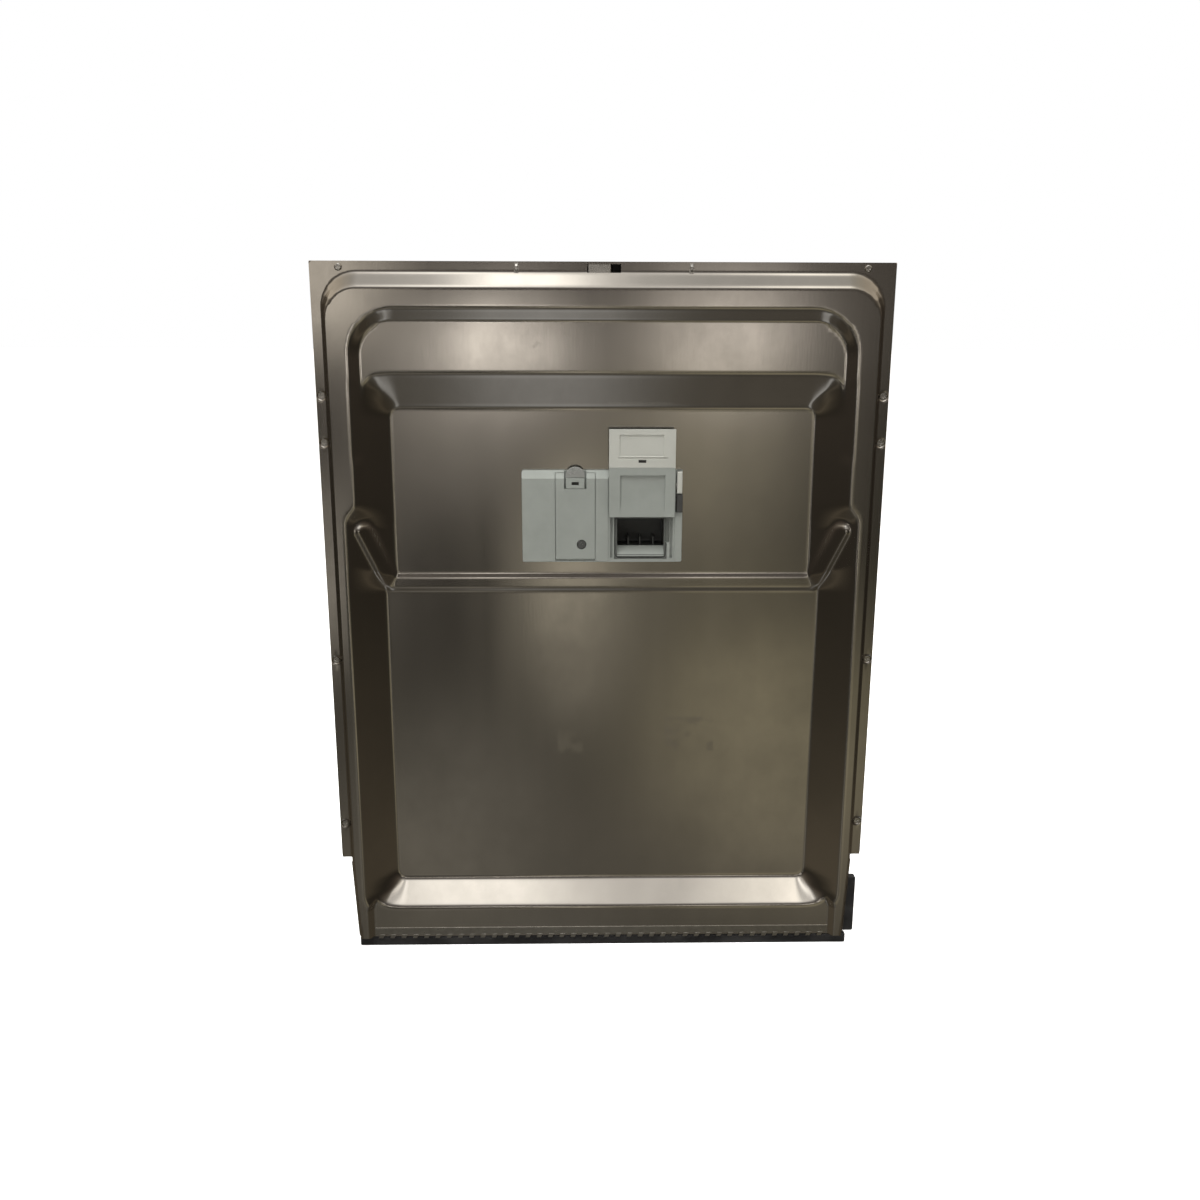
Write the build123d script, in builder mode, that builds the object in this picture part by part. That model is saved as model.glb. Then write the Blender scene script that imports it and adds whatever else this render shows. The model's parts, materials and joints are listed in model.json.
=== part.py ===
from build123d import *
from math import atan2, tan
import os

# Inner door of a dishwasher: a pressed stainless liner that carries the detergent
# and rinse-aid dispenser, the door latch, the hinge brackets and the bottom seal.
#
# Frame: +X to the right, +Y towards the outer door panel, +Z up, millimetres.
# The origin is the middle of the four hinge-bolt holes, on the liner's rear plane.
# Depths are measured forward (-Y) from that plane, and heights up from the lower
# edge of the bottom seal.

os.makedirs("parts", exist_ok=True)

# ---- driving dimensions: the door -------------------------------------------------
door_width = 590.0
door_height = 760.0
sheet = 0.8
hinge_bolt_height = 60.0

# Depth levels of the pressing
flange_depth = 20.0
land_rise = 9.0
band_drop = 6.0
pan_drop = 18.0

# Flange and raised land
side_flange = 11.0
top_flange = 12.0
land_side_run = 3.0
land_top_run = 12.0
land_corner = 35.0
notch_height = 105.0
lower_taper = 5.0

# Recessed band above the pan
land_side_width = 23.0
land_top_width = 22.0
band_top_run = 11.0
band_height = 53.0
band_corner = 45.0

# Pan
upper_wall_run = 34.0
lower_wall_run = 33.0
lower_widening = 11.0
pan_top_run = 34.0
pan_bottom_run = 27.0
pan_bottom_rim = 49.0
pan_rim_corner = 22.0
pan_floor_corner = 11.0

# Stiffening bead, which also covers the step between the upper and lower pan
bead_floor_height = 427.0
bead_rim_height = 486.0
bead_radius = 7.0
bead_sunk = 3.0
shoulder_height = 13.0
shoulder_corner = 7.0

# Open recess below the pan
apron_half = 263.0
apron_run = 3.0

# Bottom seal
seal_drop = 12.0
seal_overlap = 14.0
seal_thickness = 3.8
tooth_pitch = 13.0
tooth_width = 6.0
tooth_reach = 4.0
seal_end_height = 81.0

# Fasteners
side_screw_heights = (152.0, 344.0, 579.0, 627.0)
side_screw_radius = 2.0
side_head_radius = 3.4
dimple_depth = 1.5
corner_screw_half = 266.0
corner_head_radius = 3.7
corner_screw_radius = 2.0
panel_hole_heights = (250.0, 550.0)
console_hole_half = 180.0
mount_hole_radius = 2.25
console_clip_half = 88.0

# Hinge brackets
bracket_plate = 3.0
bracket_height = 102.0
bracket_width = 35.0
bracket_foot = 4.5
hinge_bolt_half = 255.0
hinge_bolt_spacing = 60.0
hinge_bolt_radius = 2.6

# Door latch behind the top flange
latch_width = 72.0
latch_height = 16.0
latch_depth = 16.0
latch_wall = 3.0
slot_width = 34.0
slot_height = 8.4
bolt_width = 24.0
bolt_travel = 8.0

# ---- driving dimensions: the dispenser --------------------------------------------
dispenser_x = -1.0
dispenser_bottom = 452.0
dispenser_width = 170.0
dispenser_height = 97.5
dispenser_proud = 12.0
gasket_thickness = 1.0
rim_width = 4.5
cutout_corner = 6.0
rear_clearance = 1.2
bevel_height = 8.0
bevel_depth = 6.0

# Rinse-aid side
lid_left = -51.0
lid_width = 42.8
lid_thickness = 4.0
lid_gap = 0.6
lid_pin_radius = 0.9
running_gap = 0.05
tab_width = 19.6
tab_slot = 2.0
tab_root = 78.5
tongue_root = 90.0
filler_height = 66.0
filler_radius = 9.0
dial_height = 33.0
dial_radius = 8.5
window_x = -23.0
window_height = 19.0
window_radius = 5.0
tank_wall = 1.8
tank_depth = 28.0

# Detergent side
cover_left = 5.8
cover_width = 69.7
cover_thickness = 3.1
cover_gap = 0.4
cover_travel = 44.5
cover_lower = 49.0
cover_length = 92.3
panel_length = 40.0
cup_left = 14.7
cup_width = 50.1
cup_bottom = 6.5
cup_height = 40.5
cup_depth = 33.0
cup_wall = 2.0
ledge_depth = 11.0
ledge_rise = 9.5
rail_width = 2.0
rail_gap = 0.4

# Cover release at the right-hand edge
release_left = 76.3
release_step = 53.5
button_length = 19.4
button_travel = 1.3
lever_length = 22.6
lever_reach = 4.5
lever_arm = 21.0
coil_radius = 8.0
coil_length = 32.0
plunger_radius = 2.0

# ---- derived levels and outlines --------------------------------------------------
half_width = door_width / 2
land_depth = flange_depth + land_rise
band_depth = land_depth - band_drop
pan_depth = band_depth - pan_drop
liner_bottom = seal_drop

land_foot_half = half_width - side_flange
land_half = land_foot_half - land_side_run
land_foot_top = door_height - top_flange
land_top = land_foot_top - land_top_run

upper_rim_half = land_half - land_side_width
lower_rim_half = upper_rim_half + lower_widening
upper_floor_half = upper_rim_half - upper_wall_run
lower_floor_half = lower_rim_half - lower_wall_run

band_recess_top = land_top - land_top_width
band_top = band_recess_top - band_top_run
pan_top_rim = band_top - band_height
pan_top_floor = pan_top_rim - pan_top_run
pan_bottom_floor = pan_bottom_rim + pan_bottom_run

wall_depth = land_depth - pan_depth
upper_wall_lean = upper_wall_run / wall_depth
lower_wall_lean = lower_wall_run / wall_depth
top_wall_lean = pan_top_run / pan_drop
bottom_wall_lean = pan_bottom_run / pan_drop
bead_lean = (bead_rim_height - bead_floor_height) / pan_drop

dispenser_left = dispenser_x - dispenser_width / 2
dispenser_right = dispenser_x + dispenser_width / 2
dispenser_top = dispenser_bottom + dispenser_height
rim_back = pan_depth + gasket_thickness
dispenser_front = pan_depth + dispenser_proud
cutout_left = dispenser_left + rim_width
cutout_right = dispenser_right - rim_width
cutout_bottom = dispenser_bottom + rim_width
cutout_top = dispenser_top - rim_width

lid_right = lid_left + lid_width
lid_middle = (lid_left + lid_right) / 2
cover_right = cover_left + cover_width
track_depth = dispenser_front - 1.0
cover_back = dispenser_front + cover_gap
cover_front = cover_back + cover_thickness
cover_bottom = dispenser_bottom + cover_lower
cover_top = cover_bottom + cover_length
cup_right = cup_left + cup_width


def up(height):
    """Z of a height above the lower edge of the bottom seal."""
    return height - hinge_bolt_height


def face_at(depth):
    """Plane parallel to the door at a depth, looking forward, with +X right and +Y up."""
    return Plane(origin=(0, -depth, 0), x_dir=(1, 0, 0), z_dir=(0, -1, 0))


def side_at(x):
    """Plane across the door at an x, drawn in (depth, Z) and looking to the left."""
    return Plane(origin=(x, 0, 0), x_dir=(0, -1, 0), z_dir=(-1, 0, 0))


def slab(x_low, x_high, low, high, back, front, corner=0.0, mode=Mode.ADD):
    """Block between two x, two heights and two depths, with optional round corners."""
    with BuildSketch(face_at(back)) as outline:
        with Locations(((x_low + x_high) / 2, up((low + high) / 2))):
            if corner:
                RectangleRounded(x_high - x_low, high - low, corner)
            else:
                Rectangle(x_high - x_low, high - low)
    extrude(outline.sketch, amount=front - back, mode=mode)


def disc(x, height, radius, back, front, mode=Mode.ADD):
    """Round bar or hole along the depth."""
    with BuildSketch(face_at(back)) as outline:
        with Locations((x, up(height))):
            Circle(radius)
    extrude(outline.sketch, amount=front - back, mode=mode)


def profile(points, x_low, x_high, mode=Mode.ADD):
    """Prism along X from points given as (depth, height)."""
    with BuildSketch(side_at(x_high)) as outline:
        with BuildLine():
            Polyline(*[(depth, up(height)) for depth, height in points], close=True)
        make_face()
    extrude(outline.sketch, amount=x_high - x_low, mode=mode)


def rod_x(depth, height, radius, x_low, x_high, mode=Mode.ADD):
    """Round bar or hole along X."""
    with BuildSketch(side_at(x_high)) as outline:
        with Locations((depth, up(height))):
            Circle(radius)
    extrude(outline.sketch, amount=x_high - x_low, mode=mode)


def rod_z(x, depth, radius, low, high, mode=Mode.ADD):
    """Round bar or hole along Z."""
    with BuildSketch(Plane.XY.offset(up(low))) as outline:
        with Locations((x, -depth)):
            Circle(radius)
    extrude(outline.sketch, amount=high - low, mode=mode)


def coil_spring(start, direction, length, radius, wire, turns):
    """Open coil spring from its start point along a direction."""
    with BuildPart() as spring:
        with BuildLine() as path:
            Helix(length / turns, length, radius, center=start, direction=direction)
        with BuildSketch(Plane(origin=path.line @ 0, z_dir=path.line % 0)):
            Circle(wire)
        sweep(is_frenet=True)
    return spring.part


# ---- the pressed liner ------------------------------------------------------------
def lean(run, rise):
    """Sideways shift of a sloping wall's rear skin, as a share of the sheet."""
    return tan(atan2(rise, run) / 2)


def outline_at(depth, points, radii):
    """Closed outline at a depth, with one corner radius for each point."""
    with BuildSketch(face_at(depth)) as outline:
        with BuildLine():
            FilletPolyline(*[(x, up(height)) for x, height in points], radius=radii, close=True)
        make_face()
    return outline.sketch


def land_outline(depth, half, top, corner):
    """Raised land, which narrows below the hinge notches and runs out at the bottom."""
    low_half = half - lower_taper
    points = [(-low_half, 0), (low_half, 0), (half, notch_height)]
    points += [(half, top), (-half, top), (-half, notch_height)]
    return outline_at(depth, points, [1, 1, 30, corner, corner, 30])


def pan_outline(depth, skin):
    """Pan at a depth: narrower above the bead and wider below it."""
    rise = depth + skin - pan_depth
    side = skin * lean(lower_wall_run, wall_depth)
    upper = upper_floor_half + upper_wall_lean * rise + side
    lower = lower_floor_half + lower_wall_lean * rise + side
    top = pan_top_floor + top_wall_lean * rise + skin * lean(pan_top_run, pan_drop)
    bottom = pan_bottom_floor - bottom_wall_lean * rise - skin * lean(pan_bottom_run, pan_drop)
    shoulder = bead_floor_height + bead_lean * rise + side
    low_shoulder = shoulder - shoulder_height / 2
    high_shoulder = shoulder + shoulder_height / 2
    corner = pan_floor_corner + (pan_rim_corner - pan_floor_corner) * rise / pan_drop
    points = [(-lower, bottom), (lower, bottom), (lower, low_shoulder), (upper, high_shoulder)]
    points += [(upper, top), (-upper, top), (-upper, high_shoulder), (-lower, low_shoulder)]
    soft = shoulder_corner
    return outline_at(depth, points, [corner, corner, soft, soft, corner, corner, soft, soft])


def band_outline(depth, skin):
    """Recessed band at a depth; its lower end lies inside the pan."""
    rise = depth + skin - band_depth
    half = upper_rim_half - upper_wall_lean * (band_drop - rise) + skin * lean(upper_wall_run, wall_depth)
    top = band_top + band_top_run / band_drop * rise + skin * lean(band_top_run, band_drop)
    corner = band_corner - band_top_run + band_top_run / band_drop * rise
    low = pan_top_floor - band_corner
    points = [(-half, low), (half, low), (half, top), (-half, top)]
    return outline_at(depth, points, [1, 1, corner, corner])


def apron_outline(depth, skin):
    """Recess below the pan, open at the liner's lower edge."""
    rise = depth + skin - band_depth
    half = apron_half + apron_run / band_drop * rise + skin * lean(apron_run, band_drop)
    shoulder = pan_bottom_rim
    inner = half - pan_rim_corner
    points = [(-half, -seal_drop), (half, -seal_drop), (half, shoulder)]
    points += [
        (inner, shoulder + 2 * pan_rim_corner),
        (-inner, shoulder + 2 * pan_rim_corner),
        (-half, shoulder),
    ]
    return outline_at(depth, points, [1] * 6)


bead_rim_half = (upper_rim_half + lower_rim_half) / 2 - band_drop * upper_wall_lean
bead_floor_half = (upper_floor_half + lower_floor_half) / 2
bead_points = [
    Vector(-bead_rim_half, bead_sunk - band_depth, up(bead_rim_height)),
    Vector(-bead_floor_half, bead_sunk - pan_depth, up(bead_floor_height)),
    Vector(bead_floor_half, bead_sunk - pan_depth, up(bead_floor_height)),
    Vector(bead_rim_half, bead_sunk - band_depth, up(bead_rim_height)),
]
side_screw_half = half_width - side_flange / 2


def pressing(skin):
    """Everything behind one skin of the sheet: 0 is the front skin, sheet the rear."""
    overrun = 10.0 if skin else 0.0
    with BuildPart() as solid:
        slab(
            skin - half_width,
            half_width - skin,
            liner_bottom - overrun,
            door_height - skin,
            -overrun,
            flange_depth - skin,
        )
        side = skin * lean(land_side_run, land_rise)
        top = skin * lean(land_top_run, land_rise)
        foot = land_outline(flange_depth - skin, land_foot_half - side, land_foot_top - top, land_corner)
        crest = land_outline(
            land_depth - skin,
            land_half - side,
            land_top - top,
            land_corner - land_side_run,
        )
        loft([foot, crest], ruled=True)
        if not skin:
            slab(
                -door_width,
                door_width,
                -door_height,
                liner_bottom,
                -1,
                land_depth + 1,
                mode=Mode.SUBTRACT,
            )
        front = land_depth - skin + 1
        loft(
            [band_outline(front, skin), band_outline(band_depth - skin, skin)],
            ruled=True,
            mode=Mode.SUBTRACT,
        )
        loft(
            [apron_outline(front, skin), apron_outline(band_depth - skin, skin)],
            ruled=True,
            mode=Mode.SUBTRACT,
        )
        loft(
            [pan_outline(front, skin), pan_outline(pan_depth - skin, skin)],
            ruled=True,
            mode=Mode.SUBTRACT,
        )
        for start, end in zip(bead_points, bead_points[1:]):
            with BuildSketch(Plane(origin=start, z_dir=end - start)) as section:
                Circle(bead_radius - skin)
            extrude(section.sketch, amount=(end - start).length)
        with Locations(*bead_points):
            Sphere(bead_radius - skin)
        for height in side_screw_heights:
            for x in (-side_screw_half, side_screw_half):
                floor = (x, dimple_depth + skin - flange_depth, up(height))
                with Locations(Plane(origin=floor, z_dir=(0, -1, 0)).location):
                    Cone(
                        side_screw_radius + skin / 2,
                        side_head_radius + 0.2 + skin / 2,
                        dimple_depth,
                        align=(Align.CENTER, Align.CENTER, Align.MIN),
                        mode=Mode.SUBTRACT,
                    )
    return solid.part


with BuildPart() as inner_door_liner:
    add(pressing(0.0))
    add(pressing(sheet), mode=Mode.SUBTRACT)
    # The flange and its returns stop at the hinge notches.
    for side in (-1, 1):
        with BuildSketch(face_at(-1)) as notch:
            with BuildLine():
                Polyline(
                    (side * (land_foot_half - lower_taper + sheet), up(0)),
                    (side * (land_foot_half + sheet), up(notch_height)),
                    (side * door_width, up(notch_height)),
                    (side * door_width, up(0)),
                    close=True,
                )
            make_face()
        extrude(notch.sketch, amount=flange_depth + 1.2, mode=Mode.SUBTRACT)
    # Opening for the dispenser, and the holes of its screws
    slab(
        cutout_left,
        cutout_right,
        cutout_bottom,
        cutout_top,
        0,
        pan_depth + 1,
        cutout_corner,
        Mode.SUBTRACT,
    )
    retainer_screw_places = [
        (x, height)
        for x in (dispenser_left + rim_width / 2, dispenser_right - rim_width / 2)
        for height in (
            dispenser_bottom + 0.1 * dispenser_height,
            dispenser_bottom + 0.45 * dispenser_height,
            dispenser_bottom + 0.9 * dispenser_height,
        )
    ]
    for x, height in retainer_screw_places:
        disc(x, height, 1.4, 0, pan_depth + 1, Mode.SUBTRACT)
    # Strike slot of the door latch
    slot_middle = door_height - top_flange / 2 - 0.6
    slab(
        -slot_width / 2,
        slot_width / 2,
        slot_middle - slot_height / 2,
        slot_middle + slot_height / 2,
        flange_depth - 2,
        flange_depth + 2,
        1.0,
        Mode.SUBTRACT,
    )
    # Screw and mounting holes
    for height in side_screw_heights:
        for x in (-side_screw_half, side_screw_half):
            disc(x, height, side_screw_radius + 0.1, flange_depth - 4, flange_depth + 1, Mode.SUBTRACT)
    corner_screw_height = door_height - top_flange / 2
    for x in (-corner_screw_half, corner_screw_half):
        disc(
            x,
            corner_screw_height,
            corner_screw_radius + 0.1,
            flange_depth - 4,
            flange_depth + 1,
            Mode.SUBTRACT,
        )
    for height in panel_hole_heights:
        rod_x(flange_depth / 2, height, mount_hole_radius, half_width - 2, half_width + 1, Mode.SUBTRACT)
        rod_x(flange_depth / 2, height, mount_hole_radius, -half_width - 1, 2 - half_width, Mode.SUBTRACT)
    for x in (-console_hole_half, console_hole_half):
        rod_z(x, flange_depth / 2, mount_hole_radius, door_height - 2, door_height + 1, Mode.SUBTRACT)
inner_door_liner.part.label = "inner_door_liner"
export_step(inner_door_liner.part, "parts/inner_door_liner.step")

# ---- bottom seal and its strips ---------------------------------------------------
apron_back = band_depth - sheet
seal_back = apron_back - seal_thickness
with BuildPart() as bottom_seal:
    lip_left = lower_taper - land_foot_half
    slab(lip_left, land_foot_half - 1, 0, seal_drop - 0.6, seal_back - 3, apron_back + 0.4, 1.5)
    slab(
        6 - apron_half,
        apron_half - 6,
        seal_drop - 4,
        seal_drop + seal_overlap,
        seal_back,
        apron_back - 0.05,
    )
bottom_seal.part.label = "bottom_seal"
export_step(bottom_seal.part, "parts/bottom_seal.step")

with BuildPart() as seal_clamp_strip:
    slab(
        7 - apron_half,
        apron_half - 7,
        seal_drop + 1,
        seal_drop + seal_overlap,
        seal_back - 1.2,
        seal_back - 0.05,
    )
seal_clamp_strip.part.label = "seal_clamp_strip"
export_step(seal_clamp_strip.part, "parts/seal_clamp_strip.step")

strip_low = seal_drop + 1.8
strip_half = apron_half - 1.5
tooth_count = int(2 * (strip_half - tooth_width) / tooth_pitch)
with BuildPart() as toothed_edge_strip:
    slab(-strip_half, strip_half, strip_low, strip_low + 9, band_depth, band_depth + 0.6)
    with BuildSketch(face_at(band_depth)) as teeth:
        for step in range(tooth_count + 1):
            tooth = (step - tooth_count / 2) * tooth_pitch
            with BuildLine():
                Polyline(
                    (tooth - tooth_width / 2, up(strip_low + 0.5)),
                    (tooth + tooth_width / 2, up(strip_low + 0.5)),
                    (tooth + tooth_width / 2 - 2, up(strip_low - tooth_reach)),
                    (tooth - tooth_width / 2 - 1, up(strip_low - tooth_reach)),
                    close=True,
                )
            make_face()
    extrude(amount=0.9)
toothed_edge_strip.part.label = "toothed_edge_strip"
export_step(toothed_edge_strip.part, "parts/toothed_edge_strip.step")

with BuildPart() as seal_end_right:
    end_front = flange_depth - sheet - 0.1
    slab(
        land_foot_half - 8,
        half_width - 2.5,
        seal_drop + 1,
        seal_end_height,
        end_front - 10,
        end_front,
        2.0,
    )
seal_end_right.part.label = "seal_end_right"
export_step(seal_end_right.part, "parts/seal_end_right.step")

# ---- hinge brackets ---------------------------------------------------------------
web_outer = land_foot_half - lower_taper - land_side_run - 2.5
web_inner = web_outer - bracket_plate
bracket_low = hinge_bolt_height - bracket_height / 2 + 7
bracket_high = bracket_low + bracket_height
foot_front = land_depth - sheet - 0.1


def hinge_bracket(side):
    """Channel behind the land: rear plate with two bolt holes, web and welded foot."""
    with BuildPart() as bracket:
        for inner, outer, back, front in (
            (web_outer - bracket_width, web_outer, 0, bracket_plate),
            (web_inner, web_outer, 0, foot_front),
            (web_inner, web_inner + bracket_foot, foot_front - bracket_plate, foot_front),
        ):
            x_low, x_high = sorted((side * inner, side * outer))
            slab(x_low, x_high, bracket_low, bracket_high, back, front)
        for offset in (-hinge_bolt_spacing / 2, hinge_bolt_spacing / 2):
            disc(
                side * hinge_bolt_half,
                hinge_bolt_height + offset,
                hinge_bolt_radius,
                -1,
                bracket_plate + 1,
                Mode.SUBTRACT,
            )
    return bracket


hinge_bracket_left = hinge_bracket(-1)
hinge_bracket_left.part.label = "hinge_bracket_left"
export_step(hinge_bracket_left.part, "parts/hinge_bracket_left.step")

hinge_bracket_right = hinge_bracket(1)
hinge_bracket_right.part.label = "hinge_bracket_right"
export_step(hinge_bracket_right.part, "parts/hinge_bracket_right.step")

# ---- screws and clips on the flange -----------------------------------------------
with BuildPart() as side_screws:
    for height in side_screw_heights:
        for x in (-side_screw_half, side_screw_half):
            head_low = (x, dimple_depth - 0.1 - flange_depth, up(height))
            with Locations(Plane(origin=head_low, z_dir=(0, -1, 0)).location):
                Cone(
                    side_screw_radius,
                    side_head_radius,
                    dimple_depth - 0.2,
                    align=(Align.CENTER, Align.CENTER, Align.MIN),
                )
            disc(x, height, side_screw_radius, flange_depth - 11, flange_depth - dimple_depth + 0.2)
            slab(
                x - 0.5,
                x + 0.5,
                height - 2,
                height + 2,
                flange_depth - 0.9,
                flange_depth,
                mode=Mode.SUBTRACT,
            )
            slab(
                x - 2,
                x + 2,
                height - 0.5,
                height + 0.5,
                flange_depth - 0.9,
                flange_depth,
                mode=Mode.SUBTRACT,
            )
side_screws.part.label = "side_screws"
export_step(side_screws.part, "parts/side_screws.step")

with BuildPart() as corner_screws:
    for x in (-corner_screw_half, corner_screw_half):
        disc(x, corner_screw_height, corner_head_radius, flange_depth, flange_depth + 2.2)
        disc(x, corner_screw_height, corner_screw_radius, flange_depth - 11, flange_depth + 1)
    fillet(corner_screws.faces().group_by(Axis.Y)[0].edges(), 1.2)
    for x in (-corner_screw_half, corner_screw_half):
        slot = corner_screw_height - 0.5, corner_screw_height + 0.5
        slab(x - 2.2, x + 2.2, *slot, flange_depth + 1.2, flange_depth + 3, mode=Mode.SUBTRACT)
        tall = corner_screw_height - 2.2, corner_screw_height + 2.2
        slab(x - 0.5, x + 0.5, *tall, flange_depth + 1.2, flange_depth + 3, mode=Mode.SUBTRACT)
corner_screws.part.label = "corner_screws"
export_step(corner_screws.part, "parts/corner_screws.step")

clip_low = land_foot_top + 0.6
clip_high = door_height - 1.6
with BuildPart() as console_clips:
    for x in (-console_clip_half, console_clip_half):
        slab(x - 2.2, x + 2.2, clip_low, clip_high, flange_depth, flange_depth + 0.7)
        profile(
            [
                (flange_depth + 0.5, clip_low + 1),
                (flange_depth + 2.4, clip_low + 3.5),
                (flange_depth + 2.4, clip_high - 3),
                (flange_depth + 0.5, clip_high - 0.8),
            ],
            x - 1.3,
            x + 1.3,
        )
console_clips.part.label = "console_clips"
export_step(console_clips.part, "parts/console_clips.step")

# ---- door latch -------------------------------------------------------------------
latch_front = flange_depth - sheet - 0.1
latch_back = latch_front - latch_depth
latch_top = door_height - sheet - 0.4
latch_low = latch_top - latch_height
bolt_left = -slot_width / 2 + 1
bolt_right = bolt_left + bolt_width
bolt_low = slot_middle - slot_height / 2 - 1
bolt_high = slot_middle + slot_height / 2 + 1
chamber_back = latch_back + latch_wall
chamber_left = latch_wall - latch_width / 2
chamber_right = slot_width / 2 + 2
with BuildPart() as latch_housing:
    slab(-latch_width / 2, latch_width / 2, latch_low, latch_top, latch_back, latch_front)
    slab(
        chamber_left,
        chamber_right,
        bolt_low - 0.4,
        bolt_high + 0.4,
        chamber_back,
        latch_front + 1,
        mode=Mode.SUBTRACT,
    )
latch_housing.part.label = "latch_housing"
export_step(latch_housing.part, "parts/latch_housing.step")

bolt_front = latch_front - 1.5
with BuildPart() as latch_bolt:
    slab(bolt_left, bolt_right, bolt_low, bolt_high, bolt_front - 2, bolt_front)
    slab(bolt_left, bolt_left + 9, bolt_low, bolt_high, chamber_back + 0.4, bolt_front - 1)
    chamfer(latch_bolt.edges().filter_by(Axis.Z).group_by(Axis.X)[-1].sort_by(Axis.Y)[0], 1.4)
latch_bolt.part.label = "latch_bolt"
export_step(latch_bolt.part, "parts/latch_bolt.step")

latch_spring_y = -(chamber_back + bolt_front) / 2
latch_spring_length = bolt_left - chamber_left - 1.2
latch_spring = coil_spring(
    (chamber_left + 0.6, latch_spring_y, up(slot_middle)),
    (1, 0, 0),
    latch_spring_length,
    2.8,
    0.35,
    6,
)
latch_spring.label = "latch_spring"
export_step(latch_spring, "parts/latch_spring.step")

with BuildPart() as door_switch:
    slab(
        chamber_right + 2,
        latch_width / 2 + 6,
        latch_low,
        latch_top - 2,
        latch_back - 8,
        latch_back - 0.05,
    )
    slab(
        chamber_right + 6,
        chamber_right + 7,
        latch_low + 5,
        latch_low + 9,
        latch_back - 13,
        latch_back - 8,
    )
    slab(
        chamber_right + 12,
        chamber_right + 13,
        latch_low + 5,
        latch_low + 9,
        latch_back - 13,
        latch_back - 8,
    )
door_switch.part.label = "door_switch"
export_step(door_switch.part, "parts/door_switch.step")

# ---- dispenser: housing -----------------------------------------------------------
body_left = cutout_left + rear_clearance
body_bottom = cutout_bottom + rear_clearance
body_top = cutout_top - rear_clearance
pocket_low = dispenser_bottom + 1.5
lid_axis_depth = dispenser_front - lid_thickness / 2
lid_axis_height = pocket_low + lid_gap + lid_thickness / 2
pocket_back = dispenser_front - lid_thickness - 0.6
filler_place = (lid_middle, dispenser_bottom + filler_height)
dial_place = (lid_middle, dispenser_bottom + dial_height)
tab_low = dispenser_bottom + tab_root
tongue_low = dispenser_bottom + tongue_root
cup_low = dispenser_bottom + cup_bottom
cup_high = cup_low + cup_height
cup_back = dispenser_front - cup_depth
ledge_back = dispenser_front - 1 - ledge_depth
ledge_high = cup_low + ledge_rise
release_low = dispenser_bottom + release_step
release_back = rim_back + 4
rail_places = (cover_left + 3.0, cover_right - 3.0)
spring_x = cover_right - 7.0
spring_back = track_depth - 5.5
peg_height = cover_bottom + 19
lever_left = dispenser_right - 6.4
lever_right = dispenser_right - 0.8
arm_right = cutout_right - 0.5
lever_axis_depth = release_back - 1.5
lever_axis_height = release_low + button_length + 6.1

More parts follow.
